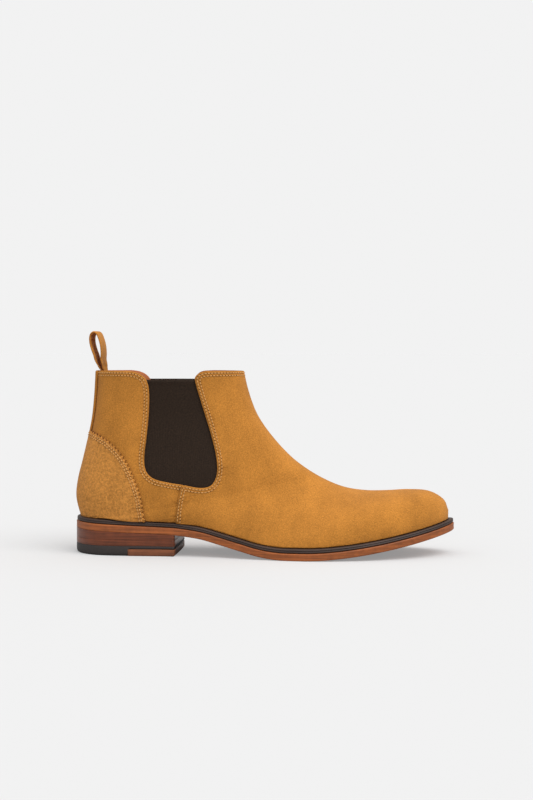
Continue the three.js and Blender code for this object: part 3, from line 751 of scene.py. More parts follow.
def add_bead(start, end, up):
    """One stitch: a short rounded bead from hole to hole, sinking at both ends."""
    along = end - start
    across = unit(np.cross(up, along))
    base = len(thread_points)
    for t, size in BEAD_RINGS:
        centre = start + along * t + up * (0.3 * math.sin(math.pi * t) - 0.1)
        for turn in range(BEAD_SIDES):
            angle = 2 * math.pi / BEAD_SIDES * turn
            thread_points.append(centre + size * (math.cos(angle) * across + math.sin(angle) * up))
    last_ring = base + (len(BEAD_RINGS) - 1) * BEAD_SIDES
    for ring in range(base, last_ring, BEAD_SIDES):
        for turn in range(BEAD_SIDES):
            a = ring + turn
            b = ring + (turn + 1) % BEAD_SIDES
            thread_faces.append((a, b, b + BEAD_SIDES, a + BEAD_SIDES))
    thread_faces.append(tuple(base + i for i in reversed(range(BEAD_SIDES))))
    thread_faces.append(tuple(last_ring + i for i in range(BEAD_SIDES)))


def add_hole_shade(point, along, up):
    """One needle hole: a shallow dish, closed below by a point, coloured dark as painted shade."""
    across = np.cross(up, along)
    base = len(hole_shade_points)
    for turn in range(6):
        angle = math.pi / 3 * turn
        hole_shade_points.append(point + HOLE_RADIUS * (math.cos(angle) * along + math.sin(angle) * across))
    hole_shade_points.append(point - 0.15 * up)
    hole_shade_points.append(point - 0.35 * up)
    for turn in range(6):
        after = (turn + 1) % 6
        hole_shade_faces.append((base + turn, base + after, base + 6))
        hole_shade_faces.append((base + after, base + turn, base + 7))


print("points in one stitch:", len(BEAD_RINGS) * BEAD_SIDES)

# %% [markdown]
# `sew` walks along a line inside the edge, marks a hole every stitch with a dark dish of painted
# shade and lays a bead from each hole to the next. It stays clear of the foot and the back seam,
# where other leather lies on top.

# %% Sewing


def sew(line, turn, lift, rows=ROWS):
    """Sews rows inside a line; returns the needle holes so that the hide can be dimpled."""
    holes = []
    off_the_rim = np.abs(1 - np.abs(unwrapped(line[:, 1]))) > SEAM_END
    line = line[off_the_rim | (line[:, 0] < CORNER - 1)]
    for number, distance in enumerate(rows):
        row = inward(line, distance, turn)
        even = resampled(row, PITCH / 2)[number % 2::2]
        ups = last_normal(even[:, 0], unwrapped(even[:, 1]))
        raised = lift(on_last(even)) if callable(lift) else lift
        seats = on_last(even, raised + 0.02 * np.ones(len(even)))
        for i in range(len(even) - 1):
            along = unit(seats[i + 1] - seats[i])
            add_hole_shade(seats[i], along, ups[i])
            add_bead(seats[i], seats[i + 1], ups[i])
        holes.append(on_last(even))
    return np.concatenate(holes)


print("a stitch every", PITCH, "mm, in rows", ROWS, "mm in from the edge")

# %% [markdown]
# ## The upper
# Two quarters wrap the heel, the vamp covers the foot and laps over them at the side seams. The
# quarter runs on a few mm beneath the vamp, so that the lap has two real edges and a real shadow.

# %% Quarters

def seam_x(z):
    return through([[z0 * ABOVE, x0 * ALONG] for x0, z0 in reversed(SIDE_SEAM)])(z)


def quarter_height(side):
    move = INNER_SHIFT if side == INNER else 0.0

    def height(points, kw, away):
        ahead = points[:, 0] - (seam_x(points[:, 2]) + move)
        low = (points[:, 2] < 62 * ABOVE) * smoothstep(ahead, -2.2, 0.4)
        return -1.0 * low

    return height


def quarter_parts(side, spacing=FINE):
    rear = line_on_last(GORE_REAR, side, spacing)
    under = line_on_last([[-60, 55.2], [-56, 54.2]], side, spacing)
    seam = above_foot(line_on_last([[-56, 54.2], [-59, 46], [-61.5, 34], [-63, 20]], side, spacing))
    collar = collar_line(side, BACK_TOP_X, graded(GORE_REAR, side)[0][0], spacing)
    collar[0] = (COLLAR_BACK_K, side)
    foot = foot_line(seam[-1], np.array([FOOT_BACK_K, side]), side)
    back = rim(side, FOOT_BACK_K, COLLAR_BACK_K)
    parts = [
        (SEWN, collar), (SEWN, rear), (HIDDEN, under), (HIDDEN, seam), (HIDDEN, foot), (HIDDEN, back),
    ]
    return parts, joined(collar, rear)


def closed(parts):
    """Moves each line's end onto the next line's start, so that the loop has no gap."""
    for i, (_, line) in enumerate(parts):
        line[-1] = parts[(i + 1) % len(parts)][1][0]
    return parts


quarters = {}
for side, name in ((OUTER, "quarter_outer"), (INNER, "quarter_inner")):
    parts, edge = quarter_parts(side)
    holes = sew(edge, turning(parts), 0.0)
    quarters[name] = hide(
        "suede_" + name, closed(parts), quarter_height(side), UPPER_THICKNESS, holes=holes,
    )

# %% [markdown]
# The vamp is one hide from seam to seam, cut whole so that no seam crosses the toe. Its net meets
# itself at the very toe, where the outer and inner half close on each other. That join is welded,
# so the toe is one unbroken surface. Near the side seams it stands proud, over the quarters' lap.

# %% Vamp


def vamp_edge(side):
    """From the collar at the ridge, down the elastic's front edge and the side seam."""
    front = line_on_last(GORE_FRONT, side)[::-1]
    seam = above_foot(line_on_last(SIDE_SEAM, side))
    top_x = graded(GORE_FRONT, side)[-1][0]
    collar = collar_line(side, float(ridge_x(RIDGE_COLLAR_K)), top_x)
    collar[0] = (RIDGE_COLLAR_K, 0)
    start = np.argmin(np.abs(on_last(seam)[:, 2] - 55.0 * ABOVE))
    return collar, front, seam[start:]


def vamp_height(points, kw, away):
    """The vamp stands proud near the side seams, where it lies over the quarter."""
    side_move = np.where(kw[:, 1] > 0, INNER_SHIFT, 0.0)
    ahead = points[:, 0] - (seam_x(points[:, 2]) + side_move)
    low = smoothstep(66 * ABOVE - points[:, 2], 0, 8)
    return 0.95 * low * (1 - smoothstep(ahead, 4, 18))


collar_o, front_o, seam_o = vamp_edge(OUTER)
collar_i, front_i, seam_i = vamp_edge(INNER)
_, toe_ridge_z, toe_edge_x, toe_edge_z = section_ends(np.array(float(SECTIONS)))
toe_share = (toe_ridge_z - foot_height(toe_edge_x)) / (toe_ridge_z - toe_edge_z)
TOE_V = float(np.arccos(1 - 2 * toe_share) / np.pi)
toe_v = np.linspace(-TOE_V, TOE_V, 25)
toe_line = np.column_stack([np.full_like(toe_v, SECTIONS), toe_v])
vamp_parts = closed([
    (SEWN, collar_o),
    (SEWN, front_o),
    (SEWN, seam_o),
    (HIDDEN, foot_line(seam_o[-1], toe_line[0], OUTER)),
    (FOLD, toe_line),
    (HIDDEN, foot_line(seam_i[-1], toe_line[-1], INNER)[::-1].copy()),
    (SEWN, seam_i[::-1].copy()),
    (SEWN, front_i[::-1].copy()),
    (SEWN, collar_i[::-1].copy()),
])


def vamp_lift(side):
    def lift(points):
        return vamp_height(points, np.full((len(points), 2), float(side)), None)
    return lift


vamp_holes = [
    sew(joined(collar_o, front_o, seam_o), turning(vamp_parts), vamp_lift(OUTER)),
    sew(joined(collar_i, front_i, seam_i), -turning(vamp_parts), vamp_lift(INNER)),
]
vamp = hide("suede_vamp", vamp_parts, vamp_height, UPPER_THICKNESS, holes=np.concatenate(vamp_holes))

# %% [markdown]
# The heel patch is a thicker, coarser hide over the heel. Its edge is pinked: cut with a toothed
# iron into small points, and sewn with two rows inside the teeth. In w it crosses the back seam, so
# both sides are one piece, and its foot ends just above the welt like the other hides. The teeth
# are cut by stepping in from a smooth line by a zigzag distance, so they follow it everywhere.

# %% Heel patch
TOOTH = 3.5
TOOTH_DEPTH = 1.9
PATCH_LIFT = 1.8
PATCH_THICKNESS = 1.5
PATCH_ROWS = (3.0, 4.8)


def heel_halves(edge, spacing=0.45):
    """The edge line on both sides from the back seam down, in w across the seam."""
    start = section_at(back_z, (edge[0][1] - 1.0) * ABOVE)
    lines = []
    for side in (OUTER, INNER):
        line = across_seam(to_rim(line_on_last(edge, side, spacing), side))
        lines.append(np.vstack([[start, 1.0], line]))
    return lines


def toothed(line, turn):
    even = resampled(line, 0.4)
    place = np.r_[0, np.cumsum(np.linalg.norm(np.diff(on_last(even), axis=0), axis=1))]
    tooth = np.abs((place / TOOTH) % 1 - 0.5) * 2
    moved = inward(even, TOOTH_DEPTH * tooth, turn)
    moved[0], moved[-1] = even[0], even[-1]
    return moved


def patch_foot(line, side):
    start = np.array([line[-1, 0], unwrapped(line[-1, 1])])
    return across_seam(foot_line(start, np.array([FOOT_BACK_K, 0.9999 * side]), side, 1.5))


patch_outer, patch_inner = [above_foot(line) for line in heel_halves(PATCH_EDGE)]
patch_plain = [
    (SEWN, patch_outer), (HIDDEN, patch_foot(patch_outer, OUTER)),
    (HIDDEN, patch_foot(patch_inner, INNER)[::-1].copy()), (SEWN, patch_inner[::-1].copy()),
]
patch_turn = turning(patch_plain)
patch_holes = [
    sew(patch_outer, patch_turn, PATCH_LIFT, PATCH_ROWS),
    sew(patch_inner, -patch_turn, PATCH_LIFT, PATCH_ROWS),
]
patch_parts = closed([
    (SEWN, toothed(patch_outer, patch_turn)), patch_plain[1], patch_plain[2],
    (SEWN, toothed(patch_inner, -patch_turn)[::-1].copy()),
])


def patch_height(points, kw, away):
    return np.full(len(points), PATCH_LIFT)


heel_patch = hide(
    "suede_heel_patch", patch_parts, patch_height, PATCH_THICKNESS,
    spacing=2.2, holes=np.concatenate(patch_holes), roll=0.3,
)

# %% [markdown]
# ## Sheets with rows and columns
# The elastic, the back strip and the strap are plain oblong sheets. A sheet like that needs no net:
# its points stand in rows and columns, once for the front and once for the back, and four of them
# make a face. A band of faces all round closes the edge.

# %% Sheets


def grid_piece(name, outer, inner, rows, columns):
    """A closed sheet from two faces with the same rows and columns of points."""
    count = rows * columns
    faces = []
    for r in range(rows - 1):
        for c in range(columns - 1):
            a = r * columns + c
            faces.append((a, a + 1, a + columns + 1, a + columns))
            faces.append((count + a + columns, count + a + columns + 1, count + a + 1, count + a))
    edge = [c for c in range(columns)] + [r * columns + columns - 1 for r in range(1, rows)]
    edge += [(rows - 1) * columns + c for c in range(columns - 2, -1, -1)]
    edge += [r * columns for r in range(rows - 2, 0, -1)]
    for a, b in zip(edge, edge[1:] + edge[:1]):
        faces.append((b, a, count + a, count + b))
    return welded(new_piece(name, np.concatenate([outer, inner]), faces))


print("a sheet of 3 rows and 4 columns has", 2 * 2 * 3 + 2 * (2 + 3), "faces")

# %% [markdown]
# ## The elastic
# The elastic is woven over stretched rubber threads, which pull it into fine upright ribs. It is set
# behind the opening and caught 4 mm under its edge all round. The ribs could be a bump in the
# finish, but real ridges keep their shadows from every side, and four columns a rib are enough.

# %% Elastic
GORE_TOP = 137.0
GORE_LIFT = -1.9
GORE_THICKNESS = 1.2
FLANGE = 4.0
RIBS = 46
RIB_HEIGHT = 0.13
HEM_HEIGHT = 0.35
GORE_LEVEL_REAR = 76
GORE_LEVEL_FRONT = 70


def edge_at_height(line, side):
    points = sorted((z, x) for x, z in graded(line, side))
    return through([[z, x] for z, x in points])


def gore(side, name):
    rear = edge_at_height(GORE_REAR[3:8], side)
    front = edge_at_height(GORE_FRONT[3:9], side)
    bottom = through(graded(GORE_REAR[8:] + GORE_FRONT[1:4], side))
    u = np.linspace(0, 1, 4 * RIBS + 1)
    t = np.linspace(0, 1, 45)
    grid_u, grid_t = np.meshgrid(u, t)
    low_rear = rear(GORE_LEVEL_REAR * ABOVE) - FLANGE
    low_front = front(GORE_LEVEL_FRONT * ABOVE) + FLANGE
    low_x = low_rear + grid_u * (low_front - low_rear)
    floor_z = bottom(low_x) - FLANGE
    z = floor_z + grid_t * (GORE_TOP * ABOVE - floor_z)
    left = rear(np.maximum(z, GORE_LEVEL_REAR * ABOVE)) - FLANGE
    right = front(np.maximum(z, GORE_LEVEL_FRONT * ABOVE)) + FLANGE
    x = left + grid_u * (right - left)
    kw = laid_on_last(np.column_stack([x.ravel(), z.ravel()]), side)
    rib = RIB_HEIGHT * np.cos(2 * np.pi * RIBS * grid_u).ravel()
    hem = HEM_HEIGHT * smoothstep(grid_t.ravel(), 0.955, 0.975)
    outer = on_last(kw, GORE_LIFT + rib + hem)
    inner = on_last(kw, GORE_LIFT - GORE_THICKNESS - rib)
    return grid_piece(name, outer, inner, len(t), len(u))


gore_outer = gore(OUTER, "elastic_outer")
gore_inner = gore(INNER, "elastic_inner")
print("elastic faces:", len(gore_outer.data.polygons))

# %% [markdown]
# ## The lining
# Thin smooth calf lines the shaft. It is cut to the same pattern as the suede and hangs just inside
# it, further in at the heel and toe where a stiffener lies between the two. It is seen only inside
# the collar and behind the elastic, so a wider net does, with no edge rings. The heel piece crosses
# the back seam and is cut open below it, where the outer and inner feather lines part.

# %% Lining
HEEL_TIP = np.array([[float(CORNER), 1.0]])
LINING_SPACING = 4.0


def lining_height(points, kw=None, away=None):
    x, z = points[:, 0], points[:, 2]
    counter = smoothstep(-92 * ALONG - x, 0, 12) * smoothstep(96 * ABOVE - z, 0, 14)
    puff = smoothstep(x, 96 * ALONG, 108 * ALONG)
    return -(UPPER_THICKNESS + GAP + 1.8 * counter + 1.5 * puff)


def quarter_lining(side, name):
    rear = line_on_last(GORE_REAR, side, 2.5)
    seam = to_rim(line_on_last(SIDE_SEAM, side, 2.5, -0.4), side)
    seam = seam[np.argmin(np.abs(on_last(seam)[:, 2] - 55.0 * ABOVE)):]
    collar = collar_line(side, BACK_TOP_X, graded(GORE_REAR, side)[0][0], 2.5)
    collar[0] = (COLLAR_BACK_K, side)
    heel = to_rim(line_on_last(HEEL_LINING_EDGE, side, 2.5), side)
    heel_top = section_at(back_z, 99 * ABOVE)
    heel = np.vstack([[heel_top, side], heel])[::-1].copy()
    parts = [
        (HIDDEN, collar), (HIDDEN, rear), (HIDDEN, seam), (HIDDEN, rim(side, seam[-1, 0], heel[0, 0])),
        (HIDDEN, heel), (HIDDEN, rim(side, heel_top, COLLAR_BACK_K)),
    ]
    return hide(name, closed(parts), lining_height, LINING_THICKNESS, LINING_SPACING, rings=False)


def vamp_lining():
    parts = [(FOLD if kind == FOLD else HIDDEN, line.copy()) for kind, line in vamp_parts]
    return hide("lining_vamp", parts, lining_height, LINING_THICKNESS, LINING_SPACING, rings=False)


def slit(line, side):
    """Up from the lower end of an edge to the tip of the heel, just beside the seam."""
    beside = 1.0 - 0.004 * side
    ks = np.linspace(line[-1, 0], CORNER, 60)
    path = resampled(np.column_stack([ks, np.full_like(ks, beside)]), 2.5)
    return np.vstack([line[-1:], path[1:-1], HEEL_TIP])


def heel_lining():
    outer, inner = heel_halves(HEEL_LINING_EDGE, 2.5)
    parts = [
        (HIDDEN, outer), (HIDDEN, slit(outer, OUTER)),
        (HIDDEN, slit(inner, INNER)[::-1].copy()), (HIDDEN, inner[::-1].copy()),
    ]
    return hide("lining_heel", closed(parts), lining_height, LINING_THICKNESS, LINING_SPACING, rings=False)


linings = {
    "quarter_lining_outer": quarter_lining(OUTER, "lining_quarter_outer"),
    "quarter_lining_inner": quarter_lining(INNER, "lining_quarter_inner"),
    "vamp_lining": vamp_lining(),
    "heel_lining": heel_lining(),
}
print("linings:", len(linings))

# %% [markdown]
# ## The back strip
# A narrow strip covers the back seam, which would otherwise rub open. It tapers a little downwards,
# has a groove along each edge where its stitches pull it in, and rolls over at the top. It is a sheet
# laid on the last by how far each point lies from the seam, so it bends round the heel by itself.

# %% Back strip
STRIP_TOP_HALF = 8.8
STRIP_BOTTOM_HALF = 7.0
STRIP_LIFT = 1.7
STRIP_THICKNESS = 1.4
STRIP_END_K = 4.4


def around_back(k, y):
    """(k, w) of the place at height k on the back that lies y mm from the seam."""
    ws = np.linspace(0.6, 1.4, 161)
    sides = last_point(np.full_like(ws, k), unwrapped(ws))[:, 1] - CENTRE_Y
    return np.column_stack([np.full(len(y), k), np.interp(-y, -sides, ws)])


def back_strip():
    across = np.array([-1, -0.96, -0.9, -0.8, -0.74, -0.68, -0.5, -0.25, 0])
    across = np.r_[across, -across[-2::-1]]
    lift = np.interp(np.abs(across), [0, 0.68, 0.74, 0.8, 0.9, 0.96, 1], [0, 0, -0.45, 0, 0, -0.15, -0.6])
    outer, inner = [], []
    ks = np.linspace(COLLAR_BACK_K, STRIP_END_K, 60)
    for k in ks:
        share = np.clip((float(back_z(k)) / ABOVE - 90) / 54, 0, 1)
        half = STRIP_BOTTOM_HALF + share * (STRIP_TOP_HALF - STRIP_BOTTOM_HALF)
        kw = around_back(k, across * half)
        roll = -0.6 * smoothstep(COLLAR_BACK_K + 0.06 - k, 0, 0.06)
        outer.append(on_last(kw, STRIP_LIFT + lift + roll))
        inner.append(on_last(kw, STRIP_LIFT - STRIP_THICKNESS + 0 * lift))
    outer, inner = np.concatenate(outer), np.concatenate(inner)
    return grid_piece("suede_back_strip", outer, inner, len(ks), len(across))


strip = back_strip()
print("back strip faces:", len(strip.data.polygons))

# %% [markdown]
# ## The pull tab
# The pull tab is one strap. Its two ends are skived thin and sewn inside the collar, and between
# them it stands up as a loop for the finger. The loop is drawn from the side as a faired line and
# given rows of points across it. The rows are curved like the heel at the collar and straight
# above, as the real strap is. It bends where it leaves the collar, and it is made as one piece
# instead of being cut in two.

# %% Pull tab
TAB_AXIS = np.array([-130.3 * ALONG, CENTRE_Y, COLLAR + GAP + 2.4])
TAB_RISE = 31.3
TAB_TURN = math.radians(-1.5)
TAB_HALF = 10.0
TAIL = 26.0
TAIL_K = section_at(back_z, COLLAR - TAIL)
LOOP_THICKNESS = 1.4
TAIL_THICKNESS = 0.8
TAIL_TOP = 1.2
ROOT_DEPTH = 4.2
FRONT_END_DEPTH = 3.45 + 0.5 * TAIL_THICKNESS
REAR_END_DEPTH = 3.45 + 1.55 * TAIL_THICKNESS
LOOP = [
    [-1.6, 0.0], [-2.4, 0.08], [-2.9, 0.2], [-3.8, 0.33], [-5.4, 0.48], [-6.9, 0.68], [-7.0, 0.84],
    [-5.9, 0.935], [-3.8, 0.975], [-1.7, 0.935], [0.1, 0.8], [1.5, 0.62], [2.1, 0.4], [1.8, 0.2],
    [1.5, 0.1], [1.1, 0.0],
]


def tail_point(down, depth, y):
    """A place on the strap's end, down mm below the collar and depth mm in from the last."""
    k = COLLAR_BACK_K + (TAIL_K - COLLAR_BACK_K) * down / TAIL
    return on_last(around_back(k, y), -depth)


def loop_line():
    """The loop from the side: fine x and z, counted from the place where the strap turns."""
    shape = np.array(LOOP) * [1, COLLAR + TAB_RISE - TAB_AXIS[2]]
    place = np.r_[0, np.cumsum(np.linalg.norm(np.diff(shape, axis=0), axis=1))]
    fine = np.linspace(0, place[-1], 90)
    return [through(np.column_stack([place, shape[:, i]]))(fine) for i in (0, 1)]


def loop_row(x, z, y):
    """One row across the strap, curved like the heel at the collar and straight above it."""
    curve = tail_point(0.0, ROOT_DEPTH, y)[:, 0] - tail_point(0.0, ROOT_DEPTH, 0 * y)[:, 0]
    bent_x = x + (1 - float(smoothstep(z, 0, 7))) * curve
    turn = TAB_TURN * float(smoothstep(z, 0, 4))
    spun_x = bent_x * math.cos(turn) - y * math.sin(turn)
    spun_y = bent_x * math.sin(turn) + y * math.cos(turn)
    return np.column_stack([spun_x, spun_y, np.full_like(y, z)]) + TAB_AXIS


print("points along the loop:", len(loop_line()[0]))

# %% [markdown]
# The whole strap is then one sheet: rows up its front end, round the loop and down its rear end,
# thinner at both ends, with edges that round over.

# %% Strap


def strap_rows(y):
    """The strap's middle, up its front end, round the loop and down its rear end."""
    downs = np.linspace(TAIL, TAIL_TOP, 12)
    rows = [(tail_point(down, FRONT_END_DEPTH, y), TAIL_THICKNESS) for down in downs]
    for x, z in zip(*loop_line()):
        growth = (LOOP_THICKNESS - TAIL_THICKNESS) * float(smoothstep(z, 1, 6))
        rows.append((loop_row(x, z, y), TAIL_THICKNESS + growth))
    rows += [(tail_point(down, REAR_END_DEPTH, y), TAIL_THICKNESS) for down in downs[::-1]]
    return np.array([row for row, _ in rows]), np.array([thick for _, thick in rows])


def pull_tab():
    across = np.array([-1, -0.985, -0.95, -0.88, -0.6, -0.3, 0])
    across = np.r_[across, -across[-2::-1]]
    edge_drop = np.interp(np.abs(across), [0, 0.88, 0.95, 0.985, 1], [0, 0, 0.1, 0.3, 0.62])
    rows, thick = strap_rows(across * TAB_HALF)
    along = unit(np.gradient(rows, axis=0))
    width = unit(np.gradient(rows, axis=1))
    face = unit(np.cross(width, along))
    half = thick[:, None, None] * np.maximum(0.5 - edge_drop, -0.1)[None, :, None]
    front = (rows + face * half).reshape(-1, 3)
    rear = (rows - face * half).reshape(-1, 3)
    return grid_piece("suede_pull_tab", front, rear, len(rows), len(across))


tab = pull_tab()
print("pull tab faces:", len(tab.data.polygons))

# %% [markdown]
# ## The sole
# Sole, welt and heel lifts are cut from flat leather and their edges are trimmed round, inked and
# burnished with a hot iron. The outline comes first, with evenly spaced points, because an even
# spacing lets a mark be repeated along the edge. The heel's pieces use the same outline, cut off at
# the breast, the heel's front face, with a slight bow as a heel maker cuts it.

# %% Outline of a layer
HEEL_BREAST = -67.4 * ALONG
BREAST_BOW = 0.6


def across_heel(start, end, count, bow):
    """A cut across the heel, bowed forwards a little in its middle."""
    share = np.linspace(0, 1, count)[1:-1, None]
    return start + (end - start) * share + np.array([4 * bow, 0]) * share * (1 - share)


def sole_loop(outline, spacing, breast=None):
    """The outline once round from the back, counted so that point i faces point -i."""
    ks = np.linspace(0, STATIONS, 900)
    if breast is not None:
        ks = ks[outline_x(outline, ks) <= breast]
    length = 0.5 * (side_length(outline, OUTER, ks) + side_length(outline, INNER, ks))
    count = int(length[-1] / spacing)
    even = np.interp(np.linspace(0, length[-1], count), length, ks)
    outer = outline_side(outline, OUTER, even)
    inner = outline_side(outline, INNER, even)[::-1]
    if breast is None:
        return np.concatenate([outer[:-1], inner[:-1]])
    return np.concatenate([outer, across_heel(outer[-1], inner[0], 13, BREAST_BOW), inner[:-1]])


def side_length(outline, side, ks):
    steps = np.linalg.norm(np.diff(outline_side(outline, side, ks), axis=0), axis=1)
    return np.r_[0, np.cumsum(steps)]


def set_in(loop, inset):
    tangent = unit(np.roll(loop, -1, axis=0) - np.roll(loop, 1, axis=0))
    inwards = np.column_stack([-tangent[:, 1], tangent[:, 0]])
    return loop + inwards * np.reshape(inset, (-1, 1))


print("points round the sole:", len(sole_loop(SOLE, 1.5)))

# %% [markdown]
# `slab` skins such a layer: a stack of outlines, each set in a little and lifted a little, gives the
# edge its round, and the two faces close it. With a reach it makes a ring instead, open in the
# middle. A bevel on an extruded outline would round the edge too, but couldn't hold a groove.

# %% Slabs


def slab(name, loop, low, high, profile, reach=None):
    """profile: [(inset, share of height)] from the lower face to the upper one."""
    rings = list(profile)
    if reach:
        rings += [(reach, 1.0), (reach, 0.0)]
    count = len(loop)
    points, faces = [], []
    for inset, share in rings:
        ring = set_in(loop, inset)
        x = ring[:, 0]
        points.append(np.column_stack([ring, low(x) + share * (high(x) - low(x))]))
    turns = len(rings) if reach else len(rings) - 1
    for r in range(turns):
        a, b = r * count, ((r + 1) % len(rings)) * count
        for i in range(count):
            j = (i + 1) % count
            faces.append((a + i, a + j, b + j, b + i))
    if not reach:
        top = (len(rings) - 1) * count
        for i in range(count // 2):
            j, p, q = i + 1, (count - i) % count, count - i - 1
            quad = [i, j, q, p]
            quad = [corner for n, corner in enumerate(quad) if corner not in quad[:n]]
            if len(quad) > 2:
                faces.append(tuple(top + corner for corner in quad))
                faces.append(tuple(reversed(quad)))
    return welded(new_piece(name, np.concatenate(points), faces))


def level(height):
    return lambda x: np.full_like(x, float(height))


print("a level surface at 2 mm:", level(2)(np.zeros(3)))

# %% [markdown]
# The welt is the narrow ledge round the boot, a strip of leather between the upper and the sole.
# A groove runs round the middle of its edge and the upper half is pricked with slanting marks by a
# fudge wheel. Both are cut into the profile here, so the edge glints as the real one does.

# %% Welt
EDGE_STREAK = 1.25
WELT_REACH = 4.3


def welt():
    loop = set_in(sole_loop(SOLE, 0.42), 0.5)
    place = np.cumsum(np.linalg.norm(loop - np.roll(loop, 1, axis=0), axis=1))
    profile = []
    for inset, share in (
        (0.7, 0), (0.15, 0.1), (0, 0.22), (0.05, 0.38), (0.55, 0.46), (0.55, 0.52),
        (0.05, 0.58), (0.1, 0.7), (0.35, 0.82), (0.8, 0.92), (1.6, 0.99), (2.6, 1.0),
    ):
        upper = share > 0.55 and share < 1
        mark = 0.5 + 0.5 * np.cos(2 * np.pi * (place / EDGE_STREAK + 0.9 * share))
        profile.append((inset + (0.16 * mark if upper else 0), share))
    return slab("welt_strip", loop, lambda x: sole_top(x) + GAP, welt_top, profile, WELT_REACH)


sole_pieces = {"welt": welt()}
print("welt faces:", len(sole_pieces["welt"].data.polygons))

# %% [markdown]
# The outsole is one layer of thick leather. Under the heel two more layers, the lifts, fill the
# space down to the rubber. They are trimmed flush with the sole's edge, so they share its outline,
# and each has slightly rounded edges, which is what makes the fine dark lines of a stacked heel.

# %% Sole and heel lifts
LOWER_LIFT = (7.77, 12.23)
UPPER_LIFT_BOTTOM = 12.27


def lift_profile(inset):
    return [(3.0, 0), (inset, 0), (0, 0.06), (0, 0.94), (inset, 1), (3.0, 1)]


whole = sole_loop(SOLE, 1.5)
heel = sole_loop(SOLE, 1.5, HEEL_BREAST)
sole_pieces["outsole"] = slab("sole_layer", whole, sole_height, sole_top, [
    (3.0, 0), (0.4, 0), (0, 0.08), (0, 0.2), (0.1, 0.3), (0.1, 0.7), (0, 0.8), (0.1, 0.93),
    (0.6, 1), (3, 1),
])
sole_pieces["heel_lift_upper"] = slab(
    "heel_lift_top", heel, level(UPPER_LIFT_BOTTOM), lambda x: sole_height(x) - 0.05, lift_profile(0.1),
)
sole_pieces["heel_lift_lower"] = slab(
    "heel_lift_middle", heel, level(LOWER_LIFT[0]), level(LOWER_LIFT[1]), lift_profile(0.1),
)
print("points round the heel:", len(heel))

# %% [markdown]
# The heel stands on a rubber top piece, which wears slowly and grips. Its front third is only a thin
# layer over a block of leather, so the rubber's underside steps up where the block begins. The block
# is a slab cut off across the heel at both ends.

# %% Rubber and block
block_back = -103.8 * ALONG
BLOCK_TOP = 5.25
RUBBER_TOP = 7.73


def over_block(x):
    return np.where(x > block_back - 0.15, BLOCK_TOP + 0.05, 0.0)


def rubber():
    loop = sole_loop(SOLE, 1.2, HEEL_BREAST)
    profile = [(4, 0), (1.5, 0), (0.6, 0.08), (0.1, 0.25), (0, 0.4), (0, 0.94), (0.2, 1), (3, 1)]
    return slab("rubber_heel", loop, over_block, level(RUBBER_TOP), profile)


BLOCK_PROFILE = [(2, 0), (0.5, 0), (0.1, 0.1), (0, 0.25), (0, 0.95), (0.1, 1), (2, 1)]


def front_block():
    """The leather block under the front of the heel, a slab cut off across at both ends."""
    loop = sole_loop(SOLE, 1.0, HEEL_BREAST)
    loop = loop[loop[:, 0] >= block_back]
    outer = loop[: len(loop) // 2 + 1]
    inner = loop[len(loop) // 2 + 1:]
    outer[0, 0] = inner[-1, 0] = block_back
    back = across_heel(inner[-1], outer[0], 9, 0.2)
    middle = len(back) // 2
    ring = np.concatenate([back[middle:], outer, inner, back[:middle]])
    return slab("heel_front_block", ring, level(0), level(BLOCK_TOP), BLOCK_PROFILE)


sole_pieces["rubber_top_piece"] = rubber()
sole_pieces["front_block"] = front_block()
print("sole pieces:", sorted(sole_pieces))

# %% [markdown]
# The sock is the thin leather that the foot stands on, glued over the insole, with a soft pad under
# the heel that lifts it there. It is hardly seen, down inside the shaft, so a plain slab does.

# %% Sock
SOCK_BOTTOM = 5.9
HEEL_PAD = 2.5


def sock():
    loop = sole_loop(FEATHER, 2.5)

    def top(x):
        pad = HEEL_PAD * (1 - smoothstep(x, -76 * ALONG, -62 * ALONG))
        return feather(x) + SOCK_BOTTOM + 1 + pad

    profile = [(10, 0), (6.4, 0), (6.2, 0.5), (6.4, 1), (10, 1)]
    return slab("sock_leather", loop, lambda x: top(x) - 1, top, profile)


sock_leather = sock()
print("sock faces:", len(sock_leather.data.polygons))

# %% [markdown]
# ## Finishes
# Every finish is mixed from noise in the boot's own coordinates. It could be painted on unfolded
# pieces instead, but noise needs no unfolding, runs on over every seam and keeps its scale in
# millimetres. A small kit of helpers comes first, then one function for each kind of surface.

# %% Finish kit


def srgb(red, green, blue):
    values = np.array([red, green, blue]) / 255
    linear = np.where(values <= 0.04045, values / 12.92, ((values + 0.055) / 1.055) ** 2.4)
    return (*linear, 1.0)


def blank(name, roughness, specular=0.4):
    material = bpy.data.materials.new(name)
    material.use_nodes = True
    shader = material.node_tree.nodes["Principled BSDF"]
    shader.inputs["Roughness"].default_value = roughness
    shader.inputs["Specular IOR Level"].default_value = specular
    return material, shader


def place_of(material):
    return material.node_tree.nodes.new("ShaderNodeTexCoord").outputs["Object"]


def noise(material, size_mm, detail=3.0, stretch=(1, 1, 1), rough=0.55):
    tree = material.node_tree
    scaled = tree.nodes.new("ShaderNodeMapping")
    scaled.inputs["Scale"].default_value = [1000 / size_mm * s for s in stretch]
    tree.links.new(place_of(material), scaled.inputs["Vector"])
    texture = tree.nodes.new("ShaderNodeTexNoise")
    texture.inputs["Scale"].default_value = 1.0
    texture.inputs["Detail"].default_value = detail
    texture.inputs["Roughness"].default_value = rough
    tree.links.new(scaled.outputs["Vector"], texture.inputs["Vector"])
    return texture.outputs["Fac"]


print("sand in linear light:", np.round(srgb(200, 140, 70), 3))

# %% [markdown]
# Four more helpers turn noise into a look: two noises are blended, a value becomes a colour along a
# ramp, the same value raises the surface a little, so that the light catches the grain, and a
# colour is made lighter or darker.

# %% Colour and relief


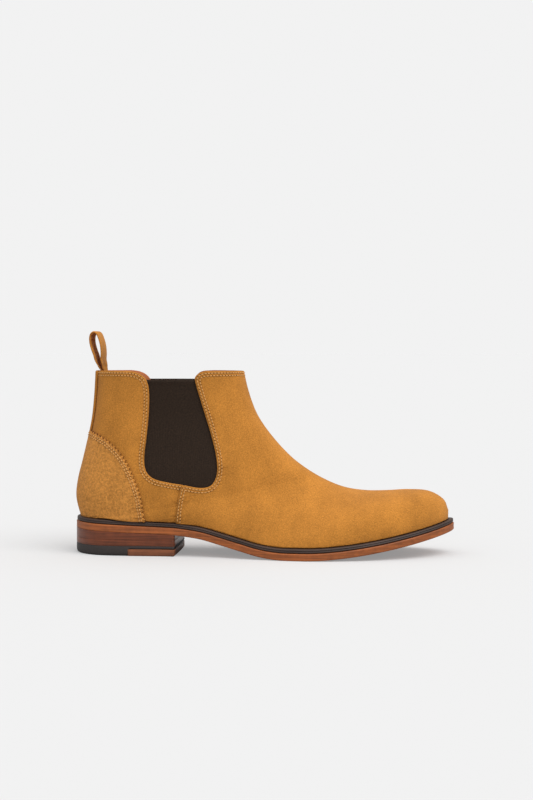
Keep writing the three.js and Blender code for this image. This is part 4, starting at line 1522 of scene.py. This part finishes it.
def mixed(material, first, second, share):
    """A blend of two values: share says how much of the second it takes."""
    tree = material.node_tree
    node = tree.nodes.new("ShaderNodeMix")
    node.inputs["Factor"].default_value = share
    tree.links.new(first, node.inputs["A"])
    tree.links.new(second, node.inputs["B"])
    return node.outputs["Result"]


def coloured(material, value, stops):
    tree = material.node_tree
    ramp = tree.nodes.new("ShaderNodeValToRGB")
    while len(ramp.color_ramp.elements) < len(stops):
        ramp.color_ramp.elements.new(0.5)
    for element, (position, colour) in zip(ramp.color_ramp.elements, stops):
        element.position = position
        element.color = colour
    tree.links.new(value, ramp.inputs["Fac"])
    tree.links.new(ramp.outputs["Color"], tree.nodes["Principled BSDF"].inputs["Base Color"])


def raised(material, value, height_mm, strength=1.0):
    tree = material.node_tree
    bump = tree.nodes.new("ShaderNodeBump")
    bump.inputs["Strength"].default_value = strength
    bump.inputs["Distance"].default_value = height_mm * MM
    tree.links.new(value, bump.inputs["Height"])
    tree.links.new(bump.outputs["Normal"], tree.nodes["Principled BSDF"].inputs["Normal"])


def scaled_colour(colour, factor):
    return tuple(min(channel * factor, 1) for channel in colour[:3]) + (1.0,)


print("sand a third darker:", np.round(scaled_colour(srgb(200, 140, 70), 0.67), 3))

# %% [markdown]
# Suede is the flesh side of the hide, raised into a short nap. Where a hand brushes the nap it lies
# another way and looks lighter or darker, which gives soft clouds on top of the fine grain. It
# scatters light so widely that it has no highlight, only a pale bloom at grazing angles: sheen.

# %% Suede


def suede(name, colour, grain_mm, cloud=0.24, nap_mm=0.3):
    material, shader = blank(name, 0.95, 0.15)
    shader.inputs["Sheen Weight"].default_value = 0.06
    shader.inputs["Sheen Roughness"].default_value = 0.5
    grain = noise(material, grain_mm, 6, rough=0.8)
    brushed = noise(material, 22, 3, (1, 1, 0.7))
    tone = mixed(material, grain, brushed, cloud)
    dark, light = scaled_colour(colour, 0.62), scaled_colour(colour, 1.42)
    coloured(material, tone, [(0.36, dark), (0.5, colour), (0.64, light)])
    raised(material, grain, nap_mm, 0.8)
    return material


print("sand suede, dark nap:", np.round(scaled_colour(srgb(196, 130, 54), 0.62), 3))

# %% [markdown]
# Smooth leather is the grain side of the hide. Its pores are fine and shallow, its colour drifts a
# little from place to place, and it has a soft highlight, so it takes less roughness than suede.

# %% Smooth leather


def smooth_leather(name, colour, roughness, grain_mm=1.2, depth=0.25):
    material, _ = blank(name, roughness, 0.45)
    grain = noise(material, grain_mm, 4)
    tone = mixed(material, grain, noise(material, 30, 2), 0.5)
    low, high = scaled_colour(colour, 1 - depth), scaled_colour(colour, 1 + depth)
    coloured(material, tone, [(0.35, low), (0.65, high)])
    raised(material, grain, 0.05, 0.5)
    return material


print("rust calf in linear light:", np.round(srgb(172, 96, 48), 3))

# %% [markdown]
# The edge of thick leather shows its fibres as fine level lines. It is inked, waxed and rubbed with
# a hot iron until it shines. The same noise as before does this once it is stretched along the
# boot, some thirty times as long as it is high.

# %% Stacked edge


def stacked_leather(name, colour, roughness, layer_mm=1.1):
    material, _ = blank(name, roughness, 0.5)
    layers = noise(material, layer_mm, 2, (0.03, 0.03, 1))
    tone = mixed(material, layers, noise(material, 6, 3), 0.35)
    low, high = scaled_colour(colour, 0.68), scaled_colour(colour, 1.32)
    coloured(material, tone, [(0.38, low), (0.5, colour), (0.64, high)])
    raised(material, layers, 0.06, 0.6)
    return material


print("stacked leather in linear light:", np.round(srgb(116, 58, 30), 3))

# %% [markdown]
# The ribs of the elastic are in its shape already. What is left for the finish is the weft: fine
# cross threads, flat in the light, between dark brown and nearly black.

# %% Elastic web


def woven(name, colour):
    material, _ = blank(name, 0.85, 0.25)
    weft = noise(material, 0.7, 3, (0.5, 0.5, 1.6))
    coloured(material, weft, [(0.35, scaled_colour(colour, 0.7)), (0.65, scaled_colour(colour, 1.35))])
    raised(material, weft, 0.1, 0.8)
    return material


print("elastic web in linear light:", np.round(srgb(47, 34, 24), 3))

# %% [markdown]
# Rubber, thread, brass, steel, cork and board need only a colour that isn't quite even, a fine grain
# and the right shine. One function serves for all of them, and metals are told apart by one number.
# After it comes the whole card of finishes, so that the colours can be judged side by side.

# %% Plain stuffs and the card


def plain(name, colour, roughness, metal=0.0, grain_mm=0.8):
    material, shader = blank(name, roughness)
    shader.inputs["Metallic"].default_value = metal
    grain = noise(material, grain_mm, 3)
    coloured(material, grain, [(0.3, scaled_colour(colour, 0.85)), (0.7, scaled_colour(colour, 1.15))])
    raised(material, grain, 0.04, 0.4)
    return material


FINISH = {
    "suede": suede("sand suede", srgb(196, 130, 54), 0.9),
    "patch_suede": suede("coarse heel suede", srgb(212, 144, 68), 1.9, 0.15, 1.0),
    "elastic": woven("brown elastic web", srgb(47, 34, 24)),
    "lining": smooth_leather("rust calf lining", srgb(172, 96, 48), 0.7),
    "welt": smooth_leather("inked welt", srgb(64, 47, 40), 0.5, 0.8, 0.4),
    "sole_leather": stacked_leather("burnished sole edge", srgb(162, 88, 38), 0.5, 1.6),
    "heel_leather": stacked_leather("stacked heel leather", srgb(116, 58, 30), 0.28),
    "front_block": stacked_leather("heel front block", srgb(128, 74, 44), 0.45, 1.5),
    "rubber": plain("black rubber", srgb(58, 52, 50), 0.6),
    "stiffener": plain("heel and toe stiffener", srgb(196, 178, 140), 0.8),
    "board": plain("insole board", srgb(176, 140, 96), 0.8),
    "cork": plain("cork filler", srgb(158, 112, 70), 0.9, grain_mm=2.0),
    "steel": plain("shank steel", srgb(150, 150, 152), 0.35, 1.0),
    "brass": plain("brass nail", srgb(196, 160, 90), 0.35, 1.0),
    "thread": plain("sand thread", srgb(226, 172, 104), 0.75),
    # The needle-hole colour below is painted shade, the darkness inside each hole.
    "needle_hole_shade": plain("needle hole", srgb(70, 42, 22), 0.9),
    # The cut-edge colour below is partly the raw edge's own colour and partly painted shade.
    "cut_edge_and_shade": plain("cut edge of the hide, darkened as painted shade", srgb(112, 68, 32), 0.95),
}
print("finishes:", len(FINISH))

# %% [markdown]
# ## Putting it together
# Each new piece says which solid of the frame it stands for, which body it rides on, and which of
# the record's finishes it takes. All pieces ride on the boot except the tab, which rides on no
# body; its transform is baked into its points.

# %% Assembly
threads = new_piece("threads", thread_points, thread_faces)
# The dark hole dishes are painted shade for the inside of each needle hole.
hole_shade_dishes = new_piece("hole_shade_dishes", hole_shade_points, hole_shade_faces)


def put(piece, finish, *nodes):
    marks = [face.material_index for face in piece.data.polygons]
    piece.data.materials.clear()
    piece.data.materials.append(FINISH[finish])
    # Wall faces take the darker edge finish, which is partly painted shade.
    if any(marks):
        piece.data.materials.append(FINISH["cut_edge_and_shade"])
        piece.data.polygons.foreach_set("material_index", marks)
    if nodes:
        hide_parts(*nodes)
    if piece is not tab:
        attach(piece, "boot")


SOLE_FINISH = {
    "welt": "welt", "outsole": "sole_leather", "heel_lift_upper": "heel_leather",
    "heel_lift_lower": "heel_leather", "rubber_top_piece": "rubber", "front_block": "front_block",
}
put(vamp, "suede", "vamp")
put(quarters["quarter_outer"], "suede", "quarter_outer")
put(quarters["quarter_inner"], "suede", "quarter_inner")
put(heel_patch, "patch_suede", "heel_patch")
put(strip, "suede", "back_strip")
put(tab, "suede", "pull_tab", "pull_tab_tail")
put(gore_outer, "elastic", "gore_outer")
put(gore_inner, "elastic", "gore_inner")
for node, piece in linings.items():
    put(piece, "lining", node)
put(sock_leather, "lining", "sock_liner")
for node, finish in SOLE_FINISH.items():
    put(sole_pieces[node], finish, node)
put(threads, "thread")
put(hole_shade_dishes, "needle_hole_shade")
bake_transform(tab)

# %% [markdown]
# What is hidden inside, the stiffeners, the insole, the cork, the steel shank and the nails, keeps
# the frame's shape. It still gets its own finish, so that the boot can be taken apart and looked at.

# %% Inside
HIDDEN_FINISH = {
    "heel_counter": "stiffener", "toe_puff": "stiffener", "insole_board": "board",
    "heel_pad": "lining", "shank": "steel", "cork_filler": "cork",
}
for node_name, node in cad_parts.items():
    finish = HIDDEN_FINISH.get(node_name)
    if node_name.startswith(("heel_nail", "block_pin")):
        finish = "brass"
    if finish:
        node.data.materials.clear()
        node.data.materials.append(FINISH[finish])

# %% [markdown]
# ## Floor and light
# The boot stands on a white table that runs out of sight, with a large soft light above the toe, a
# wider one overhead and a dome that fills the shadows. A sky map would do the same, but each of
# these has its own strength. The sky that the camera sees is as bright as the lit table, so there
# is no horizon behind the boot.

# %% Studio
PAPER = 0.887
DOME = 0.55
TABLE_GLOW = 0.27
TABLE_BOUNCE = 0.5
LAMPS = [
    ((0.42, -0.36, 0.85), 1.5, 45),
    ((0.1, -0.1, 1.0), 0.75, 90),
]


def sky():
    world = bpy.data.worlds.new("studio dome")
    world.use_nodes = True
    tree = world.node_tree
    tree.nodes.clear()
    seen = tree.nodes.new("ShaderNodeLightPath")
    dome = tree.nodes.new("ShaderNodeBackground")
    dome.inputs["Color"].default_value = (DOME, DOME, DOME, 1)
    paper = tree.nodes.new("ShaderNodeBackground")
    paper.inputs["Color"].default_value = (PAPER, PAPER, PAPER, 1)
    either = tree.nodes.new("ShaderNodeMixShader")
    out = tree.nodes.new("ShaderNodeOutputWorld")
    tree.links.new(seen.outputs["Is Camera Ray"], either.inputs["Fac"])
    tree.links.new(dome.outputs["Background"], either.inputs[1])
    tree.links.new(paper.outputs["Background"], either.inputs[2])
    tree.links.new(either.outputs["Shader"], out.inputs["Surface"])
    bpy.context.scene.world = world


def lamp(towards, strength, spread_deg):
    """A sun so wide that its shadows are as soft as a studio box's."""
    light = bpy.data.objects.new("soft light", bpy.data.lights.new("soft light", "SUN"))
    light.data.energy = strength
    light.data.angle = math.radians(spread_deg)
    light.rotation_euler = Vector(towards).to_track_quat("Z", "Y").to_euler()
    bpy.context.scene.collection.objects.link(light)


sky()
for towards, strength, spread in LAMPS:
    lamp(towards, strength, spread)
print("lamps:", len(LAMPS))

# %% [markdown]
# A boot on plain white paper gets a dark pool of shadow under its arch. Studios lay it on opal
# glass lit from below instead, so this table glows a little and its shadows stay pale. To the boot
# it gives back less light than paper would, which keeps the underside of the toe dark.

# %% Table


def lit_table():
    lit = DOME + sum(e * Vector(d).normalized().z for d, e, _ in LAMPS) / math.pi
    albedo = (PAPER - TABLE_GLOW) / lit
    side = 40000.0
    corners = [(-side, -side, 0), (side, -side, 0), (side, side, 0), (-side, side, 0)]
    table = new_piece("white table", corners, [(0, 1, 2, 3)], smooth=False)
    material, shader = blank("opal white table", 1.0, 0.0)
    shader.inputs["Emission Strength"].default_value = 1.0
    shader.inputs["Emission Color"].default_value = (TABLE_GLOW,) * 3 + (1,)
    shader.inputs["Base Color"].default_value = (albedo, albedo, albedo, 1)
    tree = material.node_tree
    seen = tree.nodes.new("ShaderNodeLightPath")
    dim = tree.nodes.new("ShaderNodeBsdfDiffuse")
    dim.inputs["Color"].default_value = (TABLE_BOUNCE,) * 3 + (1,)
    either = tree.nodes.new("ShaderNodeMixShader")
    tree.links.new(seen.outputs["Is Camera Ray"], either.inputs["Fac"])
    tree.links.new(dim.outputs["BSDF"], either.inputs[1])
    tree.links.new(shader.outputs["BSDF"], either.inputs[2])
    tree.links.new(either.outputs["Shader"], tree.nodes["Material Output"].inputs["Surface"])
    table.data.materials.append(material)
    print("table albedo", round(albedo, 3))


lit_table()
bpy.context.scene.view_settings.view_transform = "Standard"
